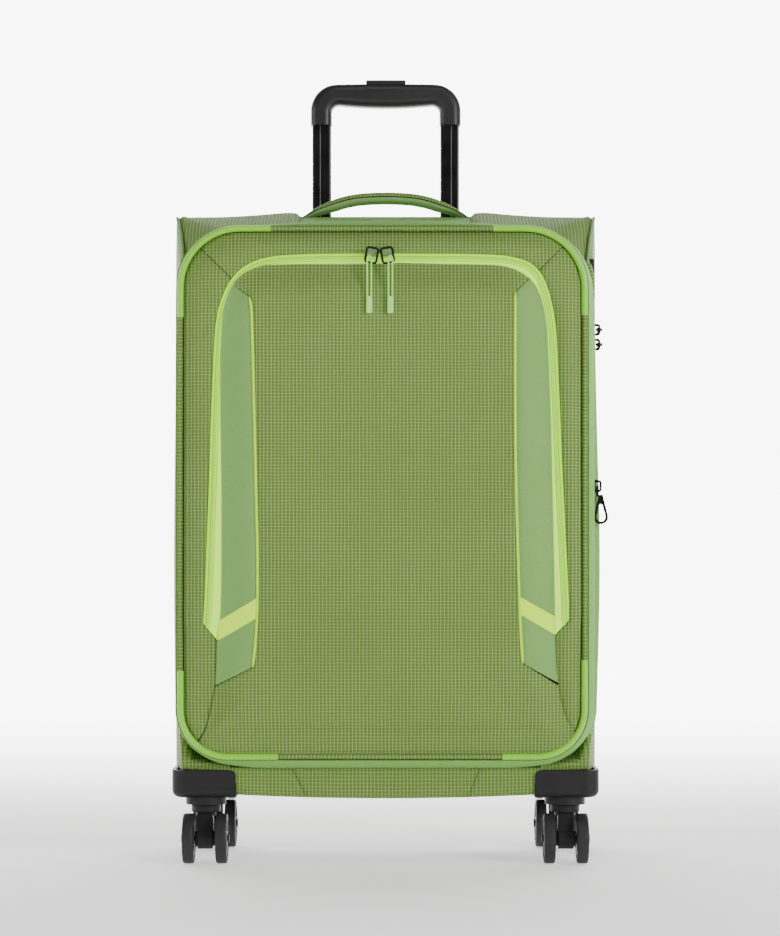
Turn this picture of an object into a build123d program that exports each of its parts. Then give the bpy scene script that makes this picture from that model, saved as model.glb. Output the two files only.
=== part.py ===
"""Soft-sided expandable suitcase on four double spinner casters, with a two-stage trolley handle.

Millimetres. +X is to the right seen from the front, +Y to the back, +Z up. The origin is on the
floor, at the middle of the case's footprint. The trolley stands part way up, and everything else
is shut.
"""

import math
import os

from build123d import *

os.makedirs("parts", exist_ok=True)

# --- Case: a box that tapers towards its mouth, with a low apron in front of the mouth -----------
CASE_HALF_W = 216.0
CASE_TOP = 660.0
CASE_BOTTOM = 68.0
CASE_BACK = 124.0
CASE_CORNER_R = 14.0
TAPER_START = 20.0
MOUTH_Y = -54.0
MOUTH_HALF_W = 207.0
MOUTH_TOP = 638.0
MOUTH_TOP_R = 60.0
MOUTH_LOW_R = 26.0
WALL = 6.0
APRON_FRONT = -92.0
APRON_TOP = 99.0
APRON_HALF_W = 209.0

# --- Lid: a band, a folded expansion gusset, and a front panel with a padded pocket ---------------
LID_W = 410.0
LID_LOW = 104.0
LID_HIGH = 636.0
LID_TOP_R = 62.0
LID_LOW_R = 50.0
BAND_BACK = -58.0
BAND_FRONT = -72.0
PANEL_BACK = -80.0
PANEL_FRONT = -98.0
BORDER_FRONT = -110.0
POCKET_FRONT = -126.0
SKIN = 3.0
POCKET_HINGE_Z = 226.0

# --- Casters --------------------------------------------------------------------------------------
CASTER_X = 180.0
KINGPIN_Y = {"front": -68.0, "rear": 102.0}
OUTWARD_Y = {"front": -1.0, "rear": 1.0}
SIDE_X = {"left": -1.0, "right": 1.0}
CORNERS = [(end, side) for end in ("front", "rear") for side in ("left", "right")]
HOUSING_IN = 149.0
HOUSING_OUT = 213.3
HOUSING_REACH = 26.0
HOUSING_DEPTH = 62.0
HOUSING_LOW = 66.0
HOUSING_TOP = 94.0
HOUSING_WALL = 4.0
BOSS_R = 20.3
BOSS_BOTTOM = 58.5
BOSS_TOP = 84.0
KINGPIN_R = 4.0
TRAIL = 14.0
WHEEL_R = 25.0
WHEEL_W = 11.6
WHEEL_OFFSET = 16.5
TYRE_INNER_R = 19.0
AXLE_R = 3.0
RUNNING_GAP = 0.05

# --- Trolley --------------------------------------------------------------------------------------
TROLLEY_Y = 104.0
TUBE_X = 67.8
TUBE_WALL = 1.2
TUBE_GAP = 0.3
INNER_TUBE = (20.0, 13.0)
LIFT = 141.0
GRIP_HALF_W = 79.5
GRIP_LEG_BOTTOM = 763.0
GRIP_TOP = 807.0
GRIP_DEPTH = 25.0
TRAY_HALF_W = 92.0
TRAY_BACK = 117.8
TRAY_FRONT = 84.0
TRAY_LOW = 614.0
TRAY_FLOOR = 618.0
TRAY_RIM = 664.0

# --- Zippers and lock, on the right side ----------------------------------------------------------
MAIN_ZIP_Y = -56.0
EXPANSION_ZIP_Y = -76.0
LOCK_Y = (-42.0, -14.0)
LOCK_Z = (512.0, 608.0)
LOCK_FACE = 211.5
DIAL_R = 5.5


def save(shape, name):
    """Labels a finished piece and writes it as parts/NAME.step."""
    shape.label = name
    export_step(shape, f"parts/{name}.step")


def y_plane(y):
    """The XZ plane at depth y. Sketches on it use (X, Z), and extrude goes towards -Y."""
    return Plane.XZ.offset(-y)


def lid_outline(inset):
    """The lid's outline in XZ, moved inwards by inset."""
    height = LID_HIGH - LID_LOW
    with Locations((0, (LID_LOW + LID_HIGH) / 2)):
        Rectangle(LID_W - 2 * inset, height - 2 * inset)
    fillet(vertices().sort_by(Axis.Y)[:2], LID_LOW_R - min(inset, 40.0))
    fillet(vertices().sort_by(Axis.Y)[-2:], LID_TOP_R - min(inset, 40.0))


def box_between(low, high, mode=Mode.ADD):
    """A box given by its two opposite corners."""
    size = [b - a for a, b in zip(low, high)]
    middle = [(a + b) / 2 for a, b in zip(low, high)]
    with Locations(tuple(middle)):
        return Box(*size, mode=mode)


def rod_hoop(y, half_w, low, high, low_r, high_r, rod_r):
    """A round rod bent into a rounded rectangle in the XZ plane at depth y."""
    with BuildLine() as half_path:
        FilletPolyline(
            (0, y, low), (half_w, y, low), (half_w, y, high), (0, y, high), radius=[low_r, high_r]
        )
    with BuildSketch(Plane((0, y, low), x_dir=(0, 1, 0), z_dir=(1, 0, 0))) as section:
        Circle(rod_r)
    sweep(section.sketch, path=half_path.line)
    mirror(about=Plane.YZ)


def case_outline(half_w, top, low_r, top_r, inset):
    """An upright section of the case, moved inwards by inset, on the sketch being built."""
    with Locations((0, (CASE_BOTTOM + top) / 2)):
        Rectangle(2 * (half_w - inset), top - CASE_BOTTOM - 2 * inset)
    fillet(vertices().sort_by(Axis.Y)[:2], low_r - inset)
    fillet(vertices().sort_by(Axis.Y)[-2:], top_r - inset)


def case_solid(inset, back):
    """The case's tapering box, moved inwards by inset, from its mouth to depth back."""
    square = (CASE_HALF_W, CASE_TOP, CASE_CORNER_R, CASE_CORNER_R, inset)
    mouth = (MOUTH_HALF_W, MOUTH_TOP, MOUTH_LOW_R, MOUTH_TOP_R, inset)
    with BuildPart() as solid:
        with BuildSketch(y_plane(back)):
            case_outline(*square)
        extrude(amount=back - TAPER_START)
        with BuildSketch(y_plane(TAPER_START)):
            case_outline(*square)
        with BuildSketch(y_plane(MOUTH_Y)):
            case_outline(*mouth)
        loft(ruled=True)
    return solid.part


def wedge(points):
    """A prism through the whole depth of the case, from a polygon in XZ."""
    with BuildPart() as prism:
        with BuildSketch(y_plane(CASE_BACK + 20)):
            with BuildLine():
                Polyline(*points, close=True)
            make_face()
        extrude(amount=300)
    return prism.part


def housing_envelope(end, side):
    """The corner block that a caster housing takes out of the case's panels."""
    sx, sy = SIDE_X[side], OUTWARD_Y[end]
    y_out = KINGPIN_Y[end] + sy * (HOUSING_REACH + 8)
    y_in = y_out - sy * (HOUSING_DEPTH + 8)
    xs = sorted((sx * HOUSING_IN, sx * (HOUSING_OUT + 20)))
    ys = sorted((y_out, y_in))
    return Pos(
        (xs[0] + xs[1]) / 2, (ys[0] + ys[1]) / 2, (CASE_BOTTOM - 20 + HOUSING_TOP) / 2
    ) * Box(xs[1] - xs[0], ys[1] - ys[0], HOUSING_TOP - CASE_BOTTOM + 20)


HOUSING_BLOCKS = [housing_envelope(end, side) for end, side in CORNERS]
CASE_SHELL = case_solid(0, CASE_BACK) - case_solid(WALL, CASE_BACK - WALL)
CORNER_LOW = CASE_BOTTOM + CASE_HALF_W
CORNER_HIGH = CASE_TOP - CASE_HALF_W
FAR = CASE_HALF_W + 60
TOP_WEDGE = wedge([(0, CORNER_HIGH), (FAR, CORNER_HIGH + FAR), (-FAR, CORNER_HIGH + FAR)])
LOW_WEDGE = wedge([(0, CORNER_LOW), (-FAR, CORNER_LOW - FAR), (FAR, CORNER_LOW - FAR)])
BACK_SLAB = Pos(0, CASE_BACK - WALL / 2 + 10, 364) * Box(600, WALL + 20, 800)

# --- Case panels ----------------------------------------------------------------------------------
with BuildPart() as back_panel:
    add(CASE_SHELL)
    add(BACK_SLAB, mode=Mode.INTERSECT)
    for block in HOUSING_BLOCKS[2:]:
        add(block, mode=Mode.SUBTRACT)
save(back_panel.part, "back_panel")

with BuildPart() as top_panel:
    add(CASE_SHELL)
    add(TOP_WEDGE, mode=Mode.INTERSECT)
    add(BACK_SLAB, mode=Mode.SUBTRACT)
    box_between(
        (-TRAY_HALF_W - 0.2, TRAY_FRONT - 0.2, CASE_TOP - 3 * WALL),
        (TRAY_HALF_W + 0.2, CASE_BACK, CASE_TOP + 1),
        Mode.SUBTRACT,
    )
save(top_panel.part, "top_panel")

with BuildPart() as bottom_panel:
    add(CASE_SHELL)
    add(LOW_WEDGE, mode=Mode.INTERSECT)
    add(BACK_SLAB, mode=Mode.SUBTRACT)
    box_between(
        (-APRON_HALF_W, APRON_FRONT, CASE_BOTTOM), (APRON_HALF_W, MOUTH_Y, APRON_TOP)
    )
    box_between(
        (-APRON_HALF_W + WALL, APRON_FRONT + WALL, CASE_BOTTOM + WALL),
        (APRON_HALF_W - WALL, MOUTH_Y + 1, APRON_TOP - WALL),
        Mode.SUBTRACT,
    )
    add(LOW_WEDGE, mode=Mode.INTERSECT)
    for block in HOUSING_BLOCKS:
        add(block, mode=Mode.SUBTRACT)
save(bottom_panel.part, "bottom_panel")

for side_name, sx in SIDE_X.items():
    with BuildPart() as side_panel:
        add(CASE_SHELL)
        for away in (TOP_WEDGE, LOW_WEDGE, BACK_SLAB):
            add(away, mode=Mode.SUBTRACT)
        with Locations((-sx * 300, 0, 364)):
            Box(600, 600, 800, mode=Mode.SUBTRACT)
        for block in HOUSING_BLOCKS:
            add(block, mode=Mode.SUBTRACT)
        if side_name == "right":
            box_between(
                (190, LOCK_Y[0], LOCK_Z[0]), (230, LOCK_Y[1], LOCK_Z[1]), Mode.SUBTRACT
            )
    save(side_panel.part, f"{side_name}_side_panel")

# --- Sprung wire hoops that hold the case's shape -------------------------------------------------
WIRE_R = 1.8
HOOPS = [
    # depth, half width, bottom, top, lower corner radius, upper corner radius
    (55.0, 204.0, 77.0, 651.0, 12.0, 12.0),
    (-40.0, 198.5, 106.0, 631.0, 50.0, 50.0),
]
with BuildPart() as wire_frame:
    for hoop in HOOPS:
        rod_hoop(*hoop, WIRE_R)
save(wire_frame.part, "wire_frame")

# --- Skid rails on the back, flat so that the case can lie on them --------------------------------
RAIL_FACE = 130.0
with BuildPart() as back_skid_rails:
    with BuildSketch(y_plane(CASE_BACK)):
        with Locations((-TUBE_X, 350), (TUBE_X, 350)):
            SlotOverall(460, 24, rotation=90)
    extrude(amount=-(RAIL_FACE - CASE_BACK))
    chamfer(back_skid_rails.edges().filter_by(GeomType.CIRCLE).group_by(Axis.Y)[-1], 1.5)
save(back_skid_rails.part, "back_skid_rails")

# --- Trolley tray in the top of the case ----------------------------------------------------------
MIDDLE_TUBE = tuple(a + 2 * (TUBE_WALL + TUBE_GAP) for a in INNER_TUBE)
OUTER_TUBE = tuple(a + 2 * (TUBE_WALL + TUBE_GAP) for a in MIDDLE_TUBE)
TUBE_SPOTS = [(-TUBE_X, TROLLEY_Y), (TUBE_X, TROLLEY_Y)]

with BuildPart() as trolley_tray:
    box_between((-TRAY_HALF_W, TRAY_FRONT, TRAY_LOW), (TRAY_HALF_W, TRAY_BACK, CASE_TOP))
    box_between((-97, 80, CASE_TOP), (97, 122, TRAY_RIM))
    box_between(
        (-82.5, TROLLEY_Y - 13.5, TRAY_FLOOR),
        (82.5, TRAY_BACK - 0.3, TRAY_RIM + 1),
        Mode.SUBTRACT,
    )
    with BuildSketch(Plane.XY.offset(TRAY_LOW)):
        with Locations(*TUBE_SPOTS):
            Rectangle(MIDDLE_TUBE[0] + 0.6, MIDDLE_TUBE[1] + 0.6)
    extrude(amount=TRAY_FLOOR - TRAY_LOW, mode=Mode.SUBTRACT)
    fillet(trolley_tray.edges().filter_by(Axis.Z).group_by(Axis.Y)[0], 8)
save(trolley_tray.part, "trolley_tray")


def tube_pair(name, size, low, high, foot=None):
    """Two rectangular tubes side by side, open at the top, and joined by a foot if given."""
    with BuildPart() as tubes:
        if foot is not None:
            add(foot)
        with BuildSketch(Plane.XY.offset(low)):
            with Locations(*TUBE_SPOTS):
                RectangleRounded(size[0], size[1], 2.5)
                RectangleRounded(
                    size[0] - 2 * TUBE_WALL,
                    size[1] - 2 * TUBE_WALL,
                    2.5 - TUBE_WALL,
                    mode=Mode.SUBTRACT,
                )
        extrude(amount=high - low)
    save(tubes.part, name)


# The outer tubes stand in a foot bracket on the bottom panel, below the moving tubes.
with BuildPart() as foot_bracket:
    box_between((-96, 88, CASE_BOTTOM + WALL), (96, 117.5, 80))
tube_pair("trolley_outer_tubes", OUTER_TUBE, 80.0, TRAY_LOW, foot_bracket.part)
tube_pair("trolley_middle_tubes", MIDDLE_TUBE, 100.0, TRAY_FLOOR + 2)
tube_pair("trolley_inner_tubes", INNER_TUBE, 120.0 + LIFT, GRIP_LEG_BOTTOM + 18)

# --- Trolley grip, push button and release rods ---------------------------------------------------
LEG_HALF_W = 21.7 / 2
GRIP_OUTER_R = 28.0
GRIP_INNER_R = 8.0
GRIP_CROWN = 1.5
GRIP_UNDER_END = 785.0
GRIP_UNDER_MID = 781.5
BUTTON_HALF_W = 21.5
ROD_R = 2.0
with BuildPart() as trolley_grip:
    with BuildSketch(y_plane(TROLLEY_Y + GRIP_DEPTH / 2)):
        with BuildLine():
            inner_x = TUBE_X - LEG_HALF_W
            legs = Polyline(
                (-inner_x, GRIP_UNDER_END),
                (-inner_x, GRIP_LEG_BOTTOM),
                (-GRIP_HALF_W, GRIP_LEG_BOTTOM),
                (-GRIP_HALF_W, GRIP_TOP - GRIP_CROWN),
            )
            crown = ThreePointArc(
                legs @ 1, (0, GRIP_TOP), (GRIP_HALF_W, GRIP_TOP - GRIP_CROWN)
            )
            other = Polyline(
                crown @ 1,
                (GRIP_HALF_W, GRIP_LEG_BOTTOM),
                (inner_x, GRIP_LEG_BOTTOM),
                (inner_x, GRIP_UNDER_END),
            )
            ThreePointArc(other @ 1, (0, GRIP_UNDER_MID), legs @ 0)
        make_face()
        fillet(vertices().sort_by(Axis.Y)[-2:], GRIP_OUTER_R)
        under_corners = [
            v
            for v in vertices()
            if abs(v.Y - GRIP_UNDER_END) < 0.01 and abs(abs(v.X) - inner_x) < 0.01
        ]
        fillet(under_corners, GRIP_INNER_R)
    extrude(amount=GRIP_DEPTH)
    rims = trolley_grip.faces().filter_by(Axis.Y).edges() - trolley_grip.edges().filter_by(
        Axis.X
    )
    fillet(rims, 8.5)
    # Sockets for the inner tubes, a channel for the release yoke, and the button's well.
    with BuildSketch(Plane.XY.offset(GRIP_LEG_BOTTOM)):
        with Locations(*TUBE_SPOTS):
            RectangleRounded(INNER_TUBE[0], INNER_TUBE[1], 2.5)
    extrude(amount=18, mode=Mode.SUBTRACT)
    box_between((-72, 100, 786.5), (72, 108, 798), Mode.SUBTRACT)
    box_between(
        (-BUTTON_HALF_W, 96, 797.9), (BUTTON_HALF_W, 112, GRIP_TOP + 5), Mode.SUBTRACT
    )
    with Locations(*[(x, y, 784) for x, y in TUBE_SPOTS]):
        Cylinder(ROD_R + 0.4, 12, mode=Mode.SUBTRACT)
save(trolley_grip.part, "trolley_grip")

with BuildPart() as trolley_button:
    box_between(
        (-BUTTON_HALF_W + 0.4, 96.4, 801.5), (BUTTON_HALF_W - 0.4, 111.6, GRIP_TOP + 4)
    )
    fillet(trolley_button.edges().group_by(Axis.Z)[-1], 2.5)
save(trolley_button.part, "trolley_button")

with BuildPart() as trolley_release_rods:
    box_between((-71, 101, 792.5), (71, 107, 796.5))
    box_between((-6, 101, 796.5), (6, 107, 801.5))
    with Locations(*[(x, y, (300 + 792.5) / 2) for x, y in TUBE_SPOTS]):
        Cylinder(ROD_R, 792.5 - 300)
save(trolley_release_rods.part, "trolley_release_rods")

# --- Carry handle: a padded arch on the top panel -------------------------------------------------
HANDLE_HALF_W = 86.0
HANDLE_RISE = 684.0
HANDLE_THICK = 11.0
HANDLE_Y = (22.0, 54.0)
HANDLE_FOOT = CASE_TOP + 0.1
with BuildPart() as carry_handle:
    with BuildSketch(y_plane(HANDLE_Y[1])):
        with BuildLine():
            upper = ThreePointArc(
                (-HANDLE_HALF_W, HANDLE_FOOT),
                (0, HANDLE_RISE),
                (HANDLE_HALF_W, HANDLE_FOOT),
            )
            foot = Line(upper @ 1, (HANDLE_HALF_W - 30, HANDLE_FOOT))
            lower = ThreePointArc(
                foot @ 1,
                (0, HANDLE_RISE - HANDLE_THICK),
                (-HANDLE_HALF_W + 30, HANDLE_FOOT),
            )
            Line(lower @ 1, upper @ 0)
        make_face()
    extrude(amount=HANDLE_Y[1] - HANDLE_Y[0])
    fillet(carry_handle.edges().filter_by(GeomType.CIRCLE).group_by(Axis.Z)[-1], 3)
save(carry_handle.part, "carry_handle")

# --- Lining over the trolley tubes, and the packing straps ----------------------------------------
with BuildPart() as trolley_tunnel_lining:
    box_between((-100, 86.5, 80.3), (100, 117.7, 608))
    box_between((-98, 88.5, 70), (98, 119, 610), Mode.SUBTRACT)
save(trolley_tunnel_lining.part, "trolley_tunnel_lining")

STRAP_Y = (84.6, 86.2)
with BuildPart() as straps:
    for strap_z in (250.0, 450.0):
        box_between((-210, STRAP_Y[0], strap_z - 12), (210, STRAP_Y[1], strap_z + 12))
with BuildPart() as buckles:
    for strap_z in (250.0, 450.0):
        box_between((-26, 76, strap_z - 17), (26, STRAP_Y[0], strap_z + 17))
    fillet(buckles.edges().filter_by(Axis.Y), 5)
    fillet(buckles.edges().group_by(Axis.Y)[0], 2.5)
save(Compound(children=[straps.part, buckles.part]), "packing_straps")

# --- Combination lock on the right side -----------------------------------------------------------
DIAL_X = 208.0
DIAL_Y = -25.0
DIAL_H = 5.5
DIAL_Z = [572.0, 580.0, 588.0]
LOCK_BUTTON_Z = 552.0
with BuildPart() as lock_body:
    box_between((200.5, LOCK_Y[0], LOCK_Z[0]), (LOCK_FACE, LOCK_Y[1], LOCK_Z[1]))
    fillet(lock_body.edges().group_by(Axis.X)[-1], 2)
    for dial_z in DIAL_Z:
        box_between(
            (DIAL_X - DIAL_R - 0.5, DIAL_Y - DIAL_R - 0.5, dial_z - DIAL_H / 2 - 0.5),
            (LOCK_FACE + 1, DIAL_Y + DIAL_R + 0.5, dial_z + DIAL_H / 2 + 0.5),
            Mode.SUBTRACT,
        )
    with Locations((DIAL_X, DIAL_Y, (DIAL_Z[0] + DIAL_Z[-1]) / 2)):
        Cylinder(1.0, 24)
    with BuildSketch(Plane.YZ.offset(203.5)):
        with Locations((DIAL_Y, LOCK_BUTTON_Z)):
            SlotOverall(17, 9, rotation=90)
    extrude(amount=20, mode=Mode.SUBTRACT)
save(lock_body.part, "lock_body")

for number, dial_z in enumerate(DIAL_Z, 1):
    with BuildPart() as lock_dial:
        with Locations((DIAL_X, DIAL_Y, dial_z)):
            Cylinder(DIAL_R, DIAL_H)
            Cylinder(1.0 + RUNNING_GAP, DIAL_H, mode=Mode.SUBTRACT)
            with PolarLocations(DIAL_R, 10):
                Cylinder(0.5, DIAL_H, mode=Mode.SUBTRACT)
    save(lock_dial.part, f"lock_dial_{number}")

with BuildPart() as lock_button:
    with BuildSketch(Plane.YZ.offset(206)):
        with Locations((DIAL_Y, LOCK_BUTTON_Z)):
            SlotOverall(16, 8, rotation=90)
    extrude(amount=7)
save(lock_button.part, "lock_button")


# --- Lid ------------------------------------------------------------------------------------------
def lid_ring(back, front, inset):
    """A ring of the lid's outline, SKIN thick, from depth back forward to depth front."""
    with BuildPart() as ring:
        with BuildSketch(y_plane(back)):
            lid_outline(inset)
        extrude(amount=back - front)
        with BuildSketch(y_plane(back + 1)):
            lid_outline(inset + SKIN)
        extrude(amount=back - front + 2, mode=Mode.SUBTRACT)
    return ring.part


def lid_frustum(back, front, back_inset, front_inset):
    """A solid between two insets of the lid's outline."""
    with BuildPart() as frustum:
        with BuildSketch(y_plane(back)):
            lid_outline(back_inset)
        with BuildSketch(y_plane(front)):
            lid_outline(front_inset)
        loft(ruled=True)
    return frustum.part


save(lid_ring(BAND_BACK, BAND_FRONT, 0), "lid_band")
save(lid_ring(BAND_FRONT - 0.2, PANEL_BACK + 0.2, 2), "expansion_gusset")

with BuildPart() as lid_panel:
    add(lid_ring(PANEL_BACK, PANEL_FRONT, 0))
    with BuildSketch(y_plane(-90)):
        lid_outline(SKIN)
    extrude(amount=3)
save(lid_panel.part, "lid_panel")

# Corner protectors: quarter-round mouldings along the lid's front edge at its four corners.
PIPE_R = 3.2
PIPE_HALF_W = 200.5
PIPE_SHIFT = -3.0
with BuildPart() as corner_protectors:
    rod_hoop(
        PANEL_FRONT - PIPE_R - 0.1,
        PIPE_HALF_W,
        LID_LOW + PIPE_R + 0.6,
        LID_HIGH - PIPE_R - 0.6,
        LID_LOW_R - PIPE_R,
        LID_TOP_R - PIPE_R,
        PIPE_R,
    )
    with Locations((-0.5, PANEL_FRONT, 545)):
        Box(221, 40, 240, mode=Mode.SUBTRACT)
    with Locations((7.5, PANEL_FRONT, 205)):
        Box(223, 40, 240, mode=Mode.SUBTRACT)
    with Locations((-204, PANEL_FRONT, (544 + 193) / 2)):
        Box(200, 40, 544 - 193, mode=Mode.SUBTRACT)
    with Locations((204, PANEL_FRONT, (546 + 204) / 2)):
        Box(200, 40, 546 - 204, mode=Mode.SUBTRACT)
save(Pos(PIPE_SHIFT, 0, 0) * corner_protectors.part, "corner_protectors")

# The border slopes from the piping up to the pocket's zipper, and the pocket stands on it.
BORDER_INSET = 9.0
ZIP_INSET = 31.0
POCKET_INSET = 33.5
POCKET_FACE_INSET = 48.0
border_outer = lid_frustum(PANEL_FRONT - 0.2, BORDER_FRONT, BORDER_INSET, ZIP_INSET)
border_inner = lid_frustum(
    PANEL_FRONT + 0.3, BORDER_FRONT - 0.5, BORDER_INSET + SKIN, ZIP_INSET + SKIN - 0.5
)
pocket_outer = lid_frustum(
    BORDER_FRONT, POCKET_FRONT, POCKET_INSET, POCKET_FACE_INSET
)
pocket_inner = lid_frustum(
    BORDER_FRONT + 1, POCKET_FRONT + SKIN, POCKET_INSET + SKIN, POCKET_FACE_INSET + SKIN
)
pocket_shell = pocket_outer - pocket_inner
ABOVE_HINGE = Pos(0, -110, POCKET_HINGE_Z + 300.3) * Box(600, 100, 600)
BELOW_HINGE = Pos(0, -110, POCKET_HINGE_Z - 300.3) * Box(600, 100, 600)

with BuildPart() as lid_border:
    add(border_outer)
    add(border_inner, mode=Mode.SUBTRACT)
    add(pocket_shell & BELOW_HINGE)
    with BuildSketch(y_plane(BORDER_FRONT + 3)):
        lid_outline(ZIP_INSET)
        lid_outline_hole = ZIP_INSET + 5
    extrude(amount=3)
    with BuildSketch(y_plane(BORDER_FRONT + 4)):
        lid_outline(lid_outline_hole)
    extrude(amount=5, mode=Mode.SUBTRACT)
save(lid_border.part, "lid_border")

with BuildPart() as pocket_flap:
    add(pocket_shell & ABOVE_HINGE)
save(pocket_flap.part, "pocket_flap")

# The pocket's zipper runs up both sides and over the top, just outside the flap.
with BuildPart() as pocket_zipper:
    add(lid_ring(BORDER_FRONT, BORDER_FRONT - 2, ZIP_INSET - 1.0))
    add(BELOW_HINGE, mode=Mode.SUBTRACT)
    add(pocket_outer, mode=Mode.SUBTRACT)
save(pocket_zipper.part, "pocket_zipper")


# --- Zipper sliders and pulls ---------------------------------------------------------------------
def side_slider(name, x, y, z):
    """A slider on a zipper that runs along Z on the right side: a plate and an open bridge."""
    with BuildPart() as slider:
        box_between((x, y - 5.5, z - 6.5), (x + 2, y + 5.5, z + 6.5))
        box_between((x + 2, y - 1.5, z - 6), (x + 8.5, y + 1.5, z + 6))
        box_between((x + 2, y - 2, z - 3.5), (x + 6.2, y + 2, z + 3.5), Mode.SUBTRACT)
        fillet(slider.edges().filter_by(Axis.Y).group_by(Axis.X)[-1], 3)
    save(slider.part, name)


MAIN_SLIDER_X = 208.0
MAIN_SLIDERS = {"upper": 535.0, "lower": 520.0}
EYE_X = MAIN_SLIDER_X + 7.2
for which, slider_z in MAIN_SLIDERS.items():
    side_slider(f"main_slider_{which}", MAIN_SLIDER_X, MAIN_ZIP_Y, slider_z)
    # The pull's eye goes round the slider's bridge, and its tab lies back along the case.
    with BuildPart() as main_pull:
        with Locations((EYE_X, MAIN_ZIP_Y, slider_z)):
            Cylinder(3.5, 3.2)
        box_between(
            (EYE_X - 0.7, MAIN_ZIP_Y + 1, slider_z - 3.2),
            (EYE_X + 0.9, MAIN_ZIP_Y + 22, slider_z + 3.2),
        )
        box_between(
            (EYE_X - 4, MAIN_ZIP_Y - 4, slider_z + 1.6),
            (EYE_X + 4, MAIN_ZIP_Y + 3.6, slider_z + 4),
            Mode.SUBTRACT,
        )
        box_between(
            (EYE_X - 4, MAIN_ZIP_Y - 4, slider_z - 4),
            (EYE_X + 4, MAIN_ZIP_Y + 3.6, slider_z - 1.6),
            Mode.SUBTRACT,
        )
        with Locations((EYE_X, MAIN_ZIP_Y, slider_z)):
            Cylinder(2.3, 8, mode=Mode.SUBTRACT)
        with Locations(Location((EYE_X, MAIN_ZIP_Y + 17.5, slider_z), (0, 90, 0))):
            Cylinder(1.6, 6, mode=Mode.SUBTRACT)
    save(main_pull.part, f"main_pull_{which}")

EXPANSION_SLIDER_Z = 377.0
EXPANSION_X = 208.0
side_slider("expansion_slider", EXPANSION_X, EXPANSION_ZIP_Y, EXPANSION_SLIDER_Z)

# A teardrop ring hangs from a pin through the expansion slider's bridge, on two ears.
PIN_X = EXPANSION_X + 4.2
PIN_Z = EXPANSION_SLIDER_Z - 1.0
EAR_LOW = PIN_Z - 9.6
RING_X = EXPANSION_X + 7.6
RING_TOP = EAR_LOW + 1.4
with BuildPart() as expansion_pull:
    with Locations(Location((PIN_X, EXPANSION_ZIP_Y, PIN_Z), (90, 0, 0))):
        Cylinder(0.9, 6)
    for ear_y in (EXPANSION_ZIP_Y - 2.45, EXPANSION_ZIP_Y + 2.45):
        box_between((PIN_X - 1.3, ear_y - 0.55, EAR_LOW), (PIN_X + 1.3, ear_y + 0.55, PIN_Z + 1.3))
    box_between(
        (PIN_X - 1.3, EXPANSION_ZIP_Y - 3, EAR_LOW), (RING_X + 2, EXPANSION_ZIP_Y + 3, EAR_LOW + 2)
    )
    with BuildSketch(y_plane(EXPANSION_ZIP_Y + 1.3)):
        with BuildLine():
            l1 = Line((RING_X - 2, RING_TOP), (RING_X - 7, RING_TOP - 20))
            a1 = ThreePointArc(l1 @ 1, (RING_X, RING_TOP - 29), (RING_X + 7, RING_TOP - 20))
            l2 = Line(a1 @ 1, (RING_X + 2, RING_TOP))
            Line(l2 @ 1, l1 @ 0)
        make_face()
    extrude(amount=2.6)
    with BuildSketch(y_plane(EXPANSION_ZIP_Y + 1.3)):
        with BuildLine():
            h1 = Line((RING_X - 1.4, RING_TOP - 9), (RING_X - 4.4, RING_TOP - 20.5))
            h2 = ThreePointArc(h1 @ 1, (RING_X, RING_TOP - 26.2), (RING_X + 4.4, RING_TOP - 20.5))
            h3 = Line(h2 @ 1, (RING_X + 1.4, RING_TOP - 9))
            Line(h3 @ 1, h1 @ 0)
        make_face()
    extrude(amount=2.6, mode=Mode.SUBTRACT)
save(expansion_pull.part, "expansion_pull")

# Two sliders at the top of the pocket, head to head. Each has a link round its bridge, a loop of
# cord through the link, and a moulded tip on the ends of the cord.
POCKET_ZIP_Z = 605.6
POCKET_SLIDER_Y = BORDER_FRONT - 2.3
POCKET_SLIDERS = {"left": -14.6, "right": 0.8}
POCKET_PULLS = {"left": -15.6, "right": -0.6}
PLATE_BELOW = 2.4  # short below the coils, so that the flap's edge swings out past it
PLATE_ABOVE = 4.5
BRIDGE_Y = POCKET_SLIDER_Y - 6.1
LINK_END_Y = BRIDGE_Y - 7.4
LINK_END_Z = POCKET_ZIP_Z - 2.5
LINK_LENGTH = math.hypot(BRIDGE_Y - LINK_END_Y, POCKET_ZIP_Z - LINK_END_Z)
LINK_TILT = math.degrees(math.atan2(POCKET_ZIP_Z - LINK_END_Z, BRIDGE_Y - LINK_END_Y))
LINK_R = 3.0
LINK_HOLE_R = 1.9
CORD_R = 0.9
CORD_HALF_W = 2.0
CORD_TOP = LINK_END_Z - 0.5
CORD_LOW = 562.0
CORD_Y = -129.3
TIP_LOW = 548.0
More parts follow.
